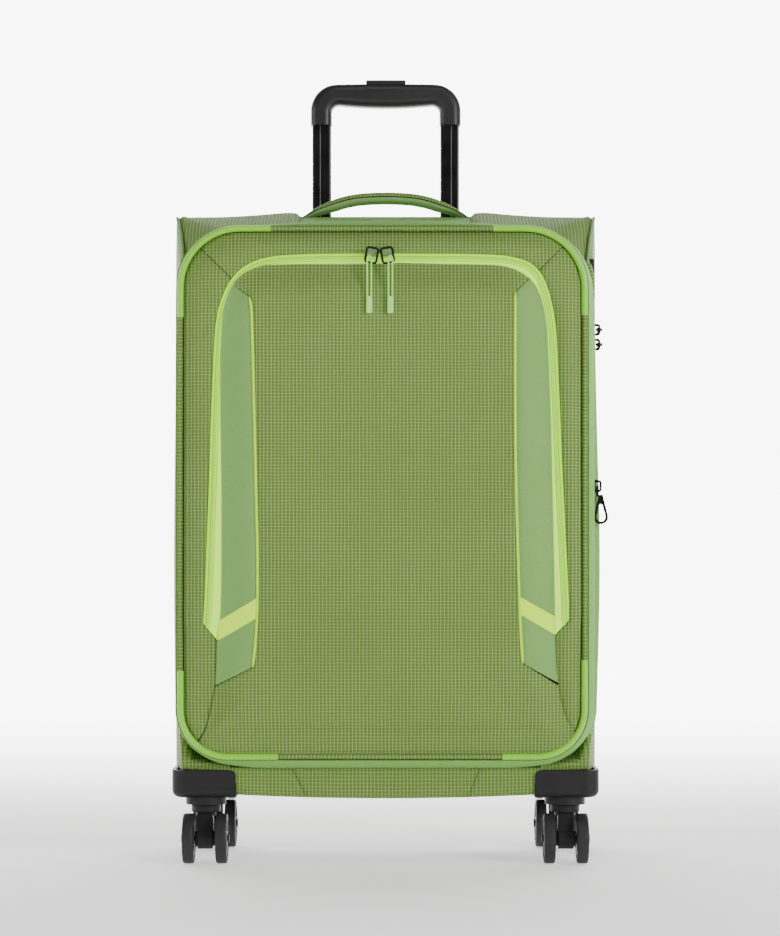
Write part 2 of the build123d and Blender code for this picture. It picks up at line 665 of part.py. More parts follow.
for side_name, slider_x in POCKET_SLIDERS.items():
    with BuildPart() as pocket_slider:
        box_between(
            (slider_x - 6, POCKET_SLIDER_Y - 1.6, POCKET_ZIP_Z - PLATE_BELOW),
            (slider_x + 6, POCKET_SLIDER_Y, POCKET_ZIP_Z + PLATE_ABOVE),
        )
        box_between(
            (slider_x - 5, POCKET_SLIDER_Y - 7, POCKET_ZIP_Z - 1.2),
            (slider_x + 5, POCKET_SLIDER_Y - 1.6, POCKET_ZIP_Z + 1.2),
        )
        box_between(
            (slider_x - 3.4, POCKET_SLIDER_Y - 5.2, POCKET_ZIP_Z - 2),
            (slider_x + 3.4, POCKET_SLIDER_Y - 1.6, POCKET_ZIP_Z + 2),
            Mode.SUBTRACT,
        )
    save(pocket_slider.part, f"pocket_slider_{side_name}")

    pull_x = POCKET_PULLS[side_name]
    with BuildPart() as pocket_link:
        with BuildSketch(Plane.YZ.offset(pull_x - 0.7)):
            link_middle = ((BRIDGE_Y + LINK_END_Y) / 2, (POCKET_ZIP_Z + LINK_END_Z) / 2)
            with Locations(Location(link_middle, LINK_TILT)):
                SlotCenterToCenter(LINK_LENGTH, 2 * LINK_R)
                SlotCenterToCenter(LINK_LENGTH, 2 * LINK_HOLE_R, mode=Mode.SUBTRACT)
        extrude(amount=1.4)
    save(pocket_link.part, f"pocket_link_{side_name}")

    route = [
        (pull_x - CORD_HALF_W, CORD_Y, CORD_LOW),
        (pull_x - CORD_HALF_W, CORD_Y, CORD_LOW + 16),
        (pull_x - CORD_HALF_W, CORD_Y + 0.7, CORD_TOP - 12),
        (pull_x - CORD_HALF_W, LINK_END_Y - 0.5, CORD_TOP),
        (pull_x + CORD_HALF_W, LINK_END_Y - 0.5, CORD_TOP),
        (pull_x + CORD_HALF_W, CORD_Y + 0.7, CORD_TOP - 12),
        (pull_x + CORD_HALF_W, CORD_Y, CORD_LOW + 16),
        (pull_x + CORD_HALF_W, CORD_Y, CORD_LOW),
    ]
    with BuildPart() as pocket_cord:
        with BuildLine() as cord_line:
            FilletPolyline(*route, radius=[12, 12, 1.2, 1.2, 12, 12])
        with BuildSketch(Plane(cord_line.line @ 0, z_dir=cord_line.line % 0)):
            Circle(CORD_R)
        sweep(path=cord_line.line)
    save(pocket_cord.part, f"pocket_cord_{side_name}")

    with BuildPart() as pocket_tip:
        box_between(
            (pull_x - 3.1, CORD_Y - 1.6, TIP_LOW), (pull_x + 3.1, CORD_Y + 1.6, CORD_LOW)
        )
        fillet(pocket_tip.edges().filter_by(Axis.Z), 1.2)
    save(pocket_tip.part, f"pocket_tip_{side_name}")


# --- Casters --------------------------------------------------------------------------------------
def caster_housing(end, side):
    """The corner guard: outer walls, a floor plate, and the swivel boss under it."""
    sx, sy = SIDE_X[side], OUTWARD_Y[end]
    cx, cy = sx * CASTER_X, KINGPIN_Y[end]
    y_out = cy + sy * HOUSING_REACH
    y_in = y_out - sy * HOUSING_DEPTH
    xs = sorted((sx * HOUSING_IN, sx * HOUSING_OUT))
    ys = sorted((y_out, y_in))
    with BuildPart() as housing:
        box_between((xs[0], ys[0], HOUSING_LOW), (xs[1], ys[1], HOUSING_TOP - 0.3))
        upright = housing.edges().filter_by(Axis.Z)
        corner = [
            e
            for e in upright
            if abs(e.center().X - sx * HOUSING_OUT) < 0.1 and abs(e.center().Y - y_out) < 0.1
        ]
        fillet(corner, 14)
        under = [
            e
            for e in housing.edges().group_by(Axis.Z)[0]
            if abs(e.center().X - sx * HOUSING_OUT) < 8 or abs(e.center().Y - y_out) < 8
        ]
        fillet(under, 8)
        inner_top = [
            e for e in housing.edges().group_by(Axis.Z)[-1] if abs(e.center().X - sx * HOUSING_IN) < 0.1
        ]
        fillet(inner_top, 6)
        pocket_xs = sorted((sx * (HOUSING_IN - 1), sx * (HOUSING_OUT - HOUSING_WALL)))
        pocket_ys = sorted((y_out - sy * HOUSING_WALL, y_in - sy))
        with BuildSketch(Plane.XY.offset(HOUSING_LOW + SKIN)):
            with Locations(((pocket_xs[0] + pocket_xs[1]) / 2, sum(pocket_ys) / 2)):
                Rectangle(pocket_xs[1] - pocket_xs[0], pocket_ys[1] - pocket_ys[0])
            pocket_corner = [
                v
                for v in vertices()
                if abs(v.X - sx * (HOUSING_OUT - HOUSING_WALL)) < 0.1
                and abs(v.Y - (y_out - sy * HOUSING_WALL)) < 0.1
            ]
            fillet(pocket_corner, 10)
        extrude(amount=60, mode=Mode.SUBTRACT)
        with Locations((cx, cy, (BOSS_BOTTOM + BOSS_TOP) / 2)):
            Cylinder(BOSS_R, BOSS_TOP - BOSS_BOTTOM)
            Cylinder(KINGPIN_R, BOSS_TOP - BOSS_BOTTOM, mode=Mode.SUBTRACT)
        with Locations(*[(x, y, HOUSING_LOW) for x, y in screw_spots(end, side)]):
            Cylinder(1.6, 20, mode=Mode.SUBTRACT)
    save(housing.part, f"caster_housing_{end}_{side}")


def screw_spots(end, side):
    """Where a housing's three screws go through its floor plate."""
    sx, sy = SIDE_X[side], OUTWARD_Y[end]
    cx, cy = sx * CASTER_X, KINGPIN_Y[end]
    return [
        (cx - sx * 26, cy + sy * 10),
        (cx - sx * 26, cy - sy * 28),
        (cx + sx * 16, cy - sy * 30),
    ]


def caster_fork(end, side):
    """The swivel fork, and the steel axle pressed through its hub."""
    cx, cy = SIDE_X[side] * CASTER_X, KINGPIN_Y[end]
    axle_y, axle_z = cy - TRAIL, WHEEL_R
    with BuildPart() as fork:
        with Locations((cx, cy, 54.2)):
            Cylinder(14.7, 6.6)
        with Locations((cx, cy, 49)):
            Cylinder(10.2, 4)
        with BuildSketch(Plane.YZ.offset(cx - 7.5)):
            with BuildLine():
                Polyline(
                    (cy - 13, 50),
                    (axle_y - 10.4, axle_z),
                    (axle_y + 10.4, axle_z),
                    (cy + 9, 50),
                    close=True,
                )
            make_face()
            with Locations((axle_y, axle_z)):
                Circle(10.5)
        extrude(amount=15)
        with BuildSketch(Plane.YZ.offset(cx - 10)):
            with Locations((axle_y, axle_z)):
                Circle(7.5)
        extrude(amount=20)
        with BuildSketch(Plane.YZ.offset(cx - 10)):
            with Locations((axle_y, axle_z)):
                Circle(AXLE_R)
        extrude(amount=20, mode=Mode.SUBTRACT)
        with Locations((cx, cy, 52)):
            Cylinder(KINGPIN_R + RUNNING_GAP, 20, mode=Mode.SUBTRACT)
        with Locations((cx, cy, 43)):
            Cylinder(6.8, 6.4, mode=Mode.SUBTRACT)
    with BuildPart() as axle:
        with BuildSketch(Plane.YZ.offset(cx - 22.6)):
            with Locations((axle_y, axle_z)):
                Circle(AXLE_R)
        extrude(amount=45.2)
        for head_x in (cx - 24, cx + 22.6):
            with BuildSketch(Plane.YZ.offset(head_x)):
                with Locations((axle_y, axle_z)):
                    Circle(4.6)
            extrude(amount=1.4)
    save(Compound(children=[fork.part, axle.part]), f"caster_fork_{end}_{side}")


SPOKES = 5


def caster_wheel(end, side, place):
    """A wheel: a spoked hub with a rubber tyre round it. place is inner or outer."""
    sx = SIDE_X[side]
    outward = sx if place == "outer" else -sx
    cx = sx * CASTER_X + outward * WHEEL_OFFSET
    axle_y, axle_z = KINGPIN_Y[end] - TRAIL, WHEEL_R
    with BuildPart() as tyre:
        with BuildSketch(Plane.YZ.offset(cx - WHEEL_W / 2)):
            with Locations((axle_y, axle_z)):
                Circle(WHEEL_R)
        extrude(amount=WHEEL_W)
        fillet(tyre.edges(), 2.2)
        with BuildSketch(Plane.YZ.offset(cx - WHEEL_W / 2)):
            with Locations((axle_y, axle_z)):
                Circle(TYRE_INNER_R)
        extrude(amount=WHEEL_W, mode=Mode.SUBTRACT)
    with BuildPart() as hub:
        with BuildSketch(Plane.YZ.offset(cx - WHEEL_W / 2 + 0.8)):
            with Locations((axle_y, axle_z)):
                Circle(TYRE_INNER_R)
                Circle(TYRE_INNER_R - 2.6, mode=Mode.SUBTRACT)
        extrude(amount=WHEEL_W - 1.6)
        with BuildSketch(Plane.YZ.offset(cx - 2)):
            with Locations((axle_y, axle_z)):
                Circle(TYRE_INNER_R - 1)
            with Locations((axle_y, axle_z)):
                with PolarLocations(12, SPOKES):
                    Circle(3.6, mode=Mode.SUBTRACT)
        extrude(amount=4)
        with BuildSketch(Plane.YZ.offset(cx - WHEEL_W / 2)):
            with Locations((axle_y, axle_z)):
                Circle(6.5)
        extrude(amount=WHEEL_W)
        with BuildSketch(Plane.YZ.offset(cx - WHEEL_W)):
            with Locations((axle_y, axle_z)):
                Circle(AXLE_R + RUNNING_GAP)
        extrude(amount=2 * WHEEL_W, mode=Mode.SUBTRACT)
    save(Compound(children=[tyre.part, hub.part]), f"wheel_{end}_{side}_{place}")


for end, side in CORNERS:
    caster_housing(end, side)
    caster_fork(end, side)
    for place in ("outer", "inner"):
        caster_wheel(end, side, place)

# Kingpins, and the screws that hold the housings up to the bottom board.
with BuildPart() as caster_fixings:
    for end, side in CORNERS:
        pin_x, pin_y = SIDE_X[side] * CASTER_X, KINGPIN_Y[end]
        with Locations((pin_x, pin_y, (43.6 + BOSS_TOP) / 2)):
            Cylinder(KINGPIN_R, BOSS_TOP - 43.6)
        with Locations((pin_x, pin_y, 44.6)):
            Cylinder(6.2, 2)
        with Locations((pin_x, pin_y, BOSS_TOP + 1.25)):
            Cylinder(7, 2.5)
        with Locations(*[(x, y, 68) for x, y in screw_spots(end, side)]):
            Cylinder(1.6, 6)
        with Locations(*[(x, y, HOUSING_LOW - 0.8) for x, y in screw_spots(end, side)]):
            Cylinder(3.4, 1.6)
save(caster_fixings.part, "caster_fixings")
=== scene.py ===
"""Looks of a soft-sided spinner suitcase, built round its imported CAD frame.

Lengths are in millimetres until a mesh is made. +X is right, +Y is back, +Z is up.
"""

import math

import bmesh
import bpy
import numpy as np
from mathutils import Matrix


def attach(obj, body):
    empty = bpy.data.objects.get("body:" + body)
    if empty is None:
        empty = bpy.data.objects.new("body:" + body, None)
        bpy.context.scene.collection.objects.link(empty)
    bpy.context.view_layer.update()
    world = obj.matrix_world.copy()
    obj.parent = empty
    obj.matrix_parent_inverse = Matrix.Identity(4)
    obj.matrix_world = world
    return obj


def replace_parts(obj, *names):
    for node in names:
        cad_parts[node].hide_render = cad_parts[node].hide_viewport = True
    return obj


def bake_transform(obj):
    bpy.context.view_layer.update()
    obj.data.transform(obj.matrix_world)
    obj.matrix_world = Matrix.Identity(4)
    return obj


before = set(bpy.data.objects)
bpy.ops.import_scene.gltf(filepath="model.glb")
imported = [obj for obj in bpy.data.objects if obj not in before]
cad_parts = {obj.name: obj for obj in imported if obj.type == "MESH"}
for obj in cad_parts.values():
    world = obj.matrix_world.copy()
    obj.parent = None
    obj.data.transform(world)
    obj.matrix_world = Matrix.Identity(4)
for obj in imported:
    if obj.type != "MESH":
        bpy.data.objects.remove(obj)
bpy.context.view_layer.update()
MM = 0.001
CASE_MIDDLE = (0, 0, 364)

# ---------------------------------------------------------------- camera and light
cam = bpy.data.cameras.new("camera")
cam.lens = 115.4
cam.sensor_width = 36.0
cam.shift_y = 0.0887
cam_object = bpy.data.objects.new("camera", cam)
cam_object.location = (0.0045, -3.08, 0.312)
cam_object.rotation_euler = (math.radians(90), 0, 0)
bpy.context.scene.collection.objects.link(cam_object)
bpy.context.scene.camera = cam_object


def area_light(name, place, aim, size, power, color=(1, 1, 1)):
    """A square soft light at place, pointing at aim, both in metres."""
    light = bpy.data.lights.new(name, "AREA")
    light.size = size
    light.energy = power
    light.color = color
    holder = bpy.data.objects.new(name, light)
    holder.location = place
    way = np.array(aim, float) - np.array(place, float)
    length = np.linalg.norm(way)
    holder.rotation_euler = (math.acos(-way[2] / length), 0, math.atan2(way[1], way[0]) - math.pi / 2)
    bpy.context.scene.collection.objects.link(holder)


area_light("key", (2.4, -2.3, 1.25), (0, 0, 0.38), 1.2, 76)
area_light("fill", (-1.3, -3.3, 0.55), (0, 0, 0.3), 1.4, 8)
area_light("top", (0.2, -1.0, 2.1), (0, -0.05, 0.5), 0.8, 6)
area_light("left", (-2.6, -0.7, 0.9), (0, 0, 0.35), 1.0, 24)

world = bpy.data.worlds.new("studio")
world.use_nodes = True
world.node_tree.nodes["Background"].inputs["Color"].default_value = (1, 1, 1, 1)
world.node_tree.nodes["Background"].inputs["Strength"].default_value = 0.17
bpy.context.scene.world = world


# ---------------------------------------------------------------- materials
class Look:
    """A node material with short calls to add its nodes."""

    def __init__(self, name):
        self.material = bpy.data.materials.new(name)
        self.material.use_nodes = True
        self.tree = self.material.node_tree
        self.shader = self.tree.nodes["Principled BSDF"]

    def node(self, kind, links=(), **settings):
        made = self.tree.nodes.new(kind)
        for key, value in settings.items():
            setattr(made, key, value)
        for socket, value in links:
            self.put(made.inputs[socket], value)
        return made

    def put(self, socket, value):
        if isinstance(value, bpy.types.NodeSocket):
            self.tree.links.new(value, socket)
        else:
            socket.default_value = value

    def math(self, operation, *values):
        return self.node("ShaderNodeMath", list(enumerate(values)), operation=operation).outputs[0]

    def mix(self, amount, a, b):
        made = self.node("ShaderNodeMix", data_type="RGBA")
        self.put(made.inputs[0], amount)
        self.put(made.inputs[6], a)
        self.put(made.inputs[7], b)
        return made.outputs[2]

    def ramp(self, value, low, high, to_low=0.0, to_high=1.0, smooth=True):
        made = self.node(
            "ShaderNodeMapRange",
            [(0, value), (1, low), (2, high), (3, to_low), (4, to_high)],
            interpolation_type="SMOOTHSTEP" if smooth else "LINEAR",
        )
        return made.outputs[0]

    def noise(self, vector, scale, detail=2.0, roughness=0.5):
        made = self.node(
            "ShaderNodeTexNoise",
            [("Vector", vector), ("Scale", scale), ("Detail", detail), ("Roughness", roughness)],
        )
        return made.outputs[0]

    def uv_mm(self):
        """The UV map's two coordinates, which hold millimetres along the cloth over 1000."""
        uv = self.node("ShaderNodeUVMap")
        split = self.node("ShaderNodeSeparateXYZ", [(0, uv.outputs[0])])
        return self.math("MULTIPLY", split.outputs[0], 1000), self.math("MULTIPLY", split.outputs[1], 1000)

    def place(self):
        return self.node("ShaderNodeTexCoord").outputs["Object"]

    def wave(self, value, pitch):
        """0 at the middle of each repeat, and 1 at its edges."""
        part = self.math("FRACT", self.math("DIVIDE", value, pitch))
        return self.math("MULTIPLY", self.math("ABSOLUTE", self.math("SUBTRACT", part, 0.5)), 2)

    def bump(self, height, distance, strength=1.0, before=None):
        links = [("Strength", strength), ("Distance", distance), ("Height", height)]
        made = self.node("ShaderNodeBump", links)
        if before is not None:
            self.put(made.inputs["Normal"], before)
        return made.outputs[0]

    def finish(self, color=None, normal=None, roughness=None, **sockets):
        if color is not None:
            self.put(self.shader.inputs["Base Color"], color)
        if normal is not None:
            self.put(self.shader.inputs["Normal"], normal)
        if roughness is not None:
            self.put(self.shader.inputs["Roughness"], roughness)
        for key, value in sockets.items():
            self.shader.inputs[key.replace("_", " ")].default_value = value
        return self.material


def rgb(red, green, blue):
    """An 8-bit screen colour as a linear shader colour."""
    linear = []
    for value in (red, green, blue):
        value /= 255
        linear.append(value / 12.92 if value <= 0.04045 else ((value + 0.055) / 1.055) ** 2.4)
    return (*linear, 1.0)


def shade(color, factor):
    """A colour made lighter or darker by a factor."""
    return [c * factor for c in color[:3]] + [1]


def grid_cloth(name, square, line, cross, pitch=(3.63, 3.2)):
    """Ripstop cloth: a lighter thread grid over squares of a plain weave."""
    look = Look(name)
    u, v = look.uv_mm()
    wander = look.noise(look.place(), 55.0, 2.0)
    drift = look.math("MULTIPLY", look.math("SUBTRACT", wander, 0.5), 1.1)
    u_line = look.wave(look.math("ADD", u, drift), pitch[0])
    v_line = look.wave(look.math("ADD", v, drift), pitch[1])
    up = look.ramp(u_line, 0.6, 0.9)
    across = look.ramp(v_line, 0.66, 0.94)
    either = look.math("MAXIMUM", look.math("MULTIPLY", up, 0.92), look.math("MULTIPLY", across, 0.72))
    both = look.math("MULTIPLY", up, across)
    fine_u = look.wave(u, 0.605)
    fine_v = look.wave(v, 0.64)
    threads = look.math("MULTIPLY", fine_u, fine_v)
    speck = look.noise(look.place(), 900.0, 2.0)
    base = look.mix(look.ramp(speck, 0.25, 0.8), square, shade(square, 0.78))
    cloth = look.mix(either, base, line)
    cloth = look.mix(look.math("MULTIPLY", both, 0.85), cloth, cross)
    broad = look.noise(look.place(), 9.0, 3.0)
    cloth = look.mix(look.ramp(broad, 0.3, 0.75, 0.0, 0.16), cloth, shade(square, 0.72))
    cloth = look.mix(look.math("MULTIPLY", threads, 0.22), cloth, shade(square, 0.5))
    normal = look.bump(either, 0.00022, 0.7)
    normal = look.bump(threads, 0.00009, 0.6, normal)
    normal = look.bump(look.noise(look.place(), 40.0, 3.0), 0.0016, 0.35, normal)
    rough = look.ramp(speck, 0.2, 0.8, 0.72, 0.9)
    return look.finish(cloth, normal, rough, Specular_IOR_Level=0.25)


def plain_cloth(name, color, pitch=0.55, depth=0.00008, rough=(0.7, 0.88), creases=0.3, glow=0.0):
    """Plain woven cloth, tape or webbing. glow is an emission strength: painted light that makes the cloth
    brighter than the lamps light it.
    """
    look = Look(name)
    u, v = look.uv_mm()
    slanted = look.math("ADD", u, look.math("MULTIPLY", v, 0.5))
    weave = look.math("MAXIMUM", look.wave(slanted, pitch), look.wave(v, pitch))
    speck = look.noise(look.place(), 1100.0, 2.0)
    broad = look.noise(look.place(), 12.0, 3.0)
    dark = shade(color, 0.8)
    cloth = look.mix(look.ramp(speck, 0.3, 0.8), color, dark)
    cloth = look.mix(look.ramp(broad, 0.35, 0.75, 0.0, 0.3), cloth, shade(color, 0.82))
    cloth = look.mix(look.math("MULTIPLY", weave, 0.2), cloth, shade(color, 0.62))
    normal = look.bump(weave, depth, 0.8)
    normal = look.bump(look.noise(look.place(), 45.0, 3.0), 0.0016, creases, normal)
    # The emission is painted light: the cloth glows in its own colour though it is no lamp.
    if glow:
        look.put(look.shader.inputs["Emission Color"], cloth)
        look.shader.inputs["Emission Strength"].default_value = glow
    return look.finish(cloth, normal, look.ramp(speck, 0.2, 0.8, *rough), Specular_IOR_Level=0.25)


def zip_tape(name, outer, inner, groove, grooves, glow):
    """A zipper's tape and coils across their width: greener outside, paler inside, with painted shade in the
    grooves.
    """
    look = Look(name)
    u, v = look.uv_mm()
    cloth = look.mix(look.ramp(v, 2.4, 7.8), outer, inner)
    coil = look.wave(u, 1.15)
    on_coil = look.math("MULTIPLY", look.ramp(v, 3.1, 3.5), look.ramp(v, 7.1, 6.7))
    cloth = look.mix(look.math("MULTIPLY", look.math("MULTIPLY", coil, on_coil), 0.35), cloth, outer)
    # Painted shade: the tape is darkened along each groove between the tape and the coils.
    for at in grooves:
        away = look.math("ABSOLUTE", look.math("SUBTRACT", v, at))
        cloth = look.mix(look.ramp(away, 0.55, 0.12, 0.0, 0.8), cloth, groove)
    normal = look.bump(look.math("MULTIPLY", coil, on_coil), 0.00035, 0.8)
    # Painted light: the tape glows with its own colour, though it is no lamp.
    look.put(look.shader.inputs["Emission Color"], cloth)
    return look.finish(cloth, normal, 0.75, Emission_Strength=glow, Specular_IOR_Level=0.25)


def moulded(name, color, rough=0.5, grain=900.0, depth=0.00006, coat=0.0, specular=0.5):
    """Moulded plastic or rubber with a fine grain."""
    look = Look(name)
    grains = look.noise(look.place(), grain, 2.0)
    broad = look.noise(look.place(), 18.0, 3.0)
    tone = look.mix(look.ramp(broad, 0.3, 0.75, 0.0, 0.35), color, shade(color, 0.8))
    surface = look.mix(look.ramp(grains, 0.35, 0.75, 0.0, 0.25), tone, shade(color, 1.25))
    normal = look.bump(grains, depth, 0.5)
    worn = look.ramp(broad, 0.3, 0.8, rough - 0.06, rough + 0.08)
    return look.finish(surface, normal, worn, Coat_Weight=coat, Specular_IOR_Level=specular)


def brushed(name, color, rough=0.3, along="z"):
    """Brushed or plated metal, with fine lines along one axis."""
    look = Look(name)
    stretch = {"x": (20, 900, 900), "y": (900, 20, 900), "z": (900, 900, 20)}[along]
    mapped = look.node("ShaderNodeMapping", [("Vector", look.place()), ("Scale", stretch)])
    lines = look.noise(mapped.outputs[0], 1.0, 2.0)
    broad = look.noise(look.place(), 30.0, 2.0)
    tone = look.mix(look.ramp(lines, 0.3, 0.7, 0.0, 0.5), color, shade(color, 0.7))
    normal = look.bump(lines, 0.00002, 0.4)
    return look.finish(tone, normal, look.ramp(broad, 0.3, 0.7, rough - 0.05, rough + 0.1), Metallic=1.0)


GRID = grid_cloth("grid_cloth", (0.124, 0.210, 0.038, 1), (0.28, 0.43, 0.118, 1), (0.38, 0.53, 0.20, 1))
PLAIN = plain_cloth("plain_green_cloth", (0.235, 0.50, 0.115, 1))
SAGE = plain_cloth("sage_cloth", (0.225, 0.44, 0.115, 1), creases=0.2)
# The lime tape, zipper, cord and pull cloths are given glow: painted light that brightens them.
LIME = plain_cloth("lime_tape", (0.60, 0.97, 0.01, 1), pitch=0.8, depth=0.00012, creases=0.1, glow=0.55)
LIME_ZIP = zip_tape(
    "lime_coil_zip", (0.38, 0.78, 0.01, 1), (0.52, 0.98, 0.05, 1), (0.12, 0.32, 0.01, 1), (2.9, 5.1, 7.3), 0.6
)
LIME_CORD = plain_cloth("lime_cord", (0.55, 0.93, 0.04, 1), pitch=1.2, depth=0.0002, creases=0.0, glow=0.2)
PULL = plain_cloth("pull_cord_cloth", (0.50, 0.93, 0.20, 1), pitch=0.9, depth=0.0002, creases=0.0, glow=0.15)
LINING = plain_cloth("lining_cloth", rgb(52, 57, 50), pitch=0.7)
WEBBING = plain_cloth("webbing", rgb(34, 36, 34), pitch=1.4, depth=0.0002, creases=0.05)
THREAD = plain_cloth("thread", (0.018, 0.032, 0.008, 1), pitch=0.4, creases=0.0)
BINDING = plain_cloth("binding_tape", (0.27, 0.45, 0.17, 1), pitch=1.0, depth=0.00012, creases=0.1)
RUBBER = moulded("green_rubber", (0.25, 0.66, 0.025, 1), rough=0.42, grain=500, depth=0.00003)
BLACK = moulded("black_plastic", (0.0095, 0.0095, 0.01, 1), rough=0.55, specular=0.3)
GRIP = moulded("grip_plastic", (0.014, 0.014, 0.0145, 1), rough=0.42, grain=1300, specular=0.4)
TYRE = moulded("tyre_rubber", (0.022, 0.022, 0.023, 1), rough=0.62, grain=700, specular=0.3)
HUB = moulded("hub_plastic", rgb(74, 75, 76), rough=0.4, grain=900)
TUBE = brushed("anodised_tube", (0.03, 0.03, 0.031, 1), rough=0.3)
GUNMETAL = brushed("gunmetal", rgb(52, 50, 50), rough=0.28, along="x")
STEEL = brushed("zinc_steel", rgb(150, 150, 150), rough=0.35, along="x")


# ---------------------------------------------------------------- mesh helpers
def add_piece(name, shape, body, material, sharp=40.0):
    """A mesh piece from (vertices, faces, UV loops) in millimetres, with one (u, v) for each face corner."""
    verts, faces, loops = shape
    mesh = bpy.data.meshes.new(name)
    mesh.from_pydata((np.asarray(verts, float) * MM).tolist(), [], [list(map(int, f)) for f in faces])
    layer = mesh.uv_layers.new(name="UVMap")
    layer.data.foreach_set("uv", (np.asarray(loops, np.float32) * MM).ravel())
    mesh.materials.append(material)
    mesh.validate()
    mesh.shade_smooth()
    mesh.set_sharp_from_angle(angle=math.radians(sharp))
    piece = bpy.data.objects.new(name, mesh)
    bpy.context.scene.collection.objects.link(piece)
    if body:
        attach(piece, body)
    return piece


def grid(*axes):
    """Arrays that broadcast together, stacked as a grid of points or of UVs."""
    return np.stack(np.broadcast_arrays(*axes), 2)


def xyz(path, y):
    """A path in XZ with a depth, as points in space."""
    path = np.asarray(path, float)
    return np.stack([path[:, 0], np.broadcast_to(y, len(path)), path[:, 1]], 1)


def ridge(distance, width):
    """1 on a line, fading to 0 about two widths away from it."""
    return np.exp(-((distance / width) ** 2))


def ease(value):
    """A smooth step from 0 to 1."""
    value = np.clip(value, 0, 1)
    return value * value * (3 - 2 * value)


def normals_of(points, wrap, middle):
    """Unit normals of a grid of points, (rows, columns, 3), that face away from middle."""
    down = np.gradient(points, axis=0)
    if wrap:
        across = (np.roll(points, -1, axis=1) - np.roll(points, 1, axis=1)) / 2
    else:
        across = np.gradient(points, axis=1)
    normal = np.cross(across, down)
    normal = normal / np.maximum(np.linalg.norm(normal, axis=2, keepdims=True), 1e-9)
    facing = np.sum(normal * (points - np.asarray(middle, float)), axis=2)
    return -normal if facing.mean() < 0 else normal


def skin(points, uv, thick, wrap=False, inward=CASE_MIDDLE):
    """A closed skin on a grid of points: the points, a copy pushed back by thick, and a rim.

    inward is a point (or an array of points) that the back of the skin lies towards.
    Returns vertices, faces and UV loops.
    """
    rows, cols = points.shape[:2]
    normal = normals_of(points, wrap, inward)
    verts = np.concatenate([points.reshape(-1, 3), (points - normal * thick).reshape(-1, 3)])
    spans = cols if wrap else cols - 1
    i, j = np.meshgrid(np.arange(rows - 1), np.arange(spans), indexing="ij")
    i, j = i.ravel(), j.ravel()
    nxt = (j + 1) % cols
    quads = np.stack([i * cols + j, i * cols + nxt, (i + 1) * cols + nxt, (i + 1) * cols + j], 1)
    uv_corner = np.stack([uv[i, j], uv[i, j + 1], uv[i + 1, j + 1], uv[i + 1, j]], 1)
    a, b, d = points[0, 0], points[0, 1], points[1, 0]
    front = np.cross(b - a, d - a) @ normal[0, 0] > 0
    if not front:
        quads, uv_corner = quads[:, ::-1], uv_corner[:, ::-1]
    back = quads[:, ::-1] + rows * cols
    back_uv = uv_corner[:, ::-1]
    rim = []
    rim_uv = []
    n = rows * cols

    def strip(first, second, uv_a, uv_b):
        face = [first, second, second + n, first + n]
        corner = [uv_a, uv_b, uv_b, uv_a]
        rim.append(face[::-1] if front else face)
        rim_uv.append(corner[::-1] if front else corner)

    for col in range(spans):
        strip(col, (col + 1) % cols, uv[0, col], uv[0, col + 1])
        last = (rows - 1) * cols
        strip(last + (col + 1) % cols, last + col, uv[-1, col + 1], uv[-1, col])
    if not wrap:
        for row in range(rows - 1):
            strip((row + 1) * cols, row * cols, uv[row + 1, 0], uv[row, 0])
            end = cols - 1
            strip(row * cols + end, (row + 1) * cols + end, uv[row, end], uv[row + 1, end])
    faces = np.concatenate([quads, back, np.array(rim)])
    loops = np.concatenate([part.reshape(-1, 2) for part in (uv_corner, back_uv, np.array(rim_uv))])
    return verts, faces, loops


def join(parts):
    """Several (vertices, faces, loops) as one."""
    verts, faces, loops, start = [], [], [], 0
    for v, f, uv in parts:
        verts.append(np.asarray(v, float))
        faces.extend([tuple(int(k) + start for k in face) for face in f])
        loops.append(np.asarray(uv, float).reshape(-1, 2))
        start += len(v)
    return np.concatenate(verts), faces, np.concatenate(loops)


def smooth_path(points, count, closed=False):
    """Evenly spaced points on a smooth curve through the points given."""
    points = np.asarray(points, float)
    if closed:
        knots = np.concatenate([points[-1:], points, points[:2]])
    else:
        knots = np.concatenate([2 * points[:1] - points[1:2], points, 2 * points[-1:] - points[-2:-1]])
    fine = []
    t = np.linspace(0, 1, 24, endpoint=False)[:, None]
    for k in range(1, len(knots) - 2):
        p0, p1, p2, p3 = knots[k - 1 : k + 3]
        d1 = max(np.linalg.norm(p2 - p1), 1e-6)
        m1 = d1 * (p2 - p0) / max(np.linalg.norm(p1 - p0) + d1, 1e-6)
        m2 = d1 * (p3 - p1) / max(np.linalg.norm(p3 - p2) + d1, 1e-6)
        fine.append(
            (2 * t**3 - 3 * t**2 + 1) * p1
            + (t**3 - 2 * t**2 + t) * m1
            + (-2 * t**3 + 3 * t**2) * p2
            + (t**3 - t**2) * m2
        )
    fine.append(knots[-2][None] if not closed else points[:1])
    return resample(np.concatenate(fine), count)


def resample(points, count):
    """count points spaced evenly along a polyline."""
    points = np.asarray(points, float)
    steps = np.linalg.norm(np.diff(points, axis=0), axis=1)
    far = np.concatenate([[0], np.cumsum(steps)])
    at = np.linspace(0, far[-1], count)
    return np.stack([np.interp(at, far, points[:, k]) for k in range(points.shape[1])], 1)


def lengths(points):
    """The distance along a polyline at each of its points."""
    return np.concatenate([[0], np.cumsum(np.linalg.norm(np.diff(points, axis=0), axis=1))])


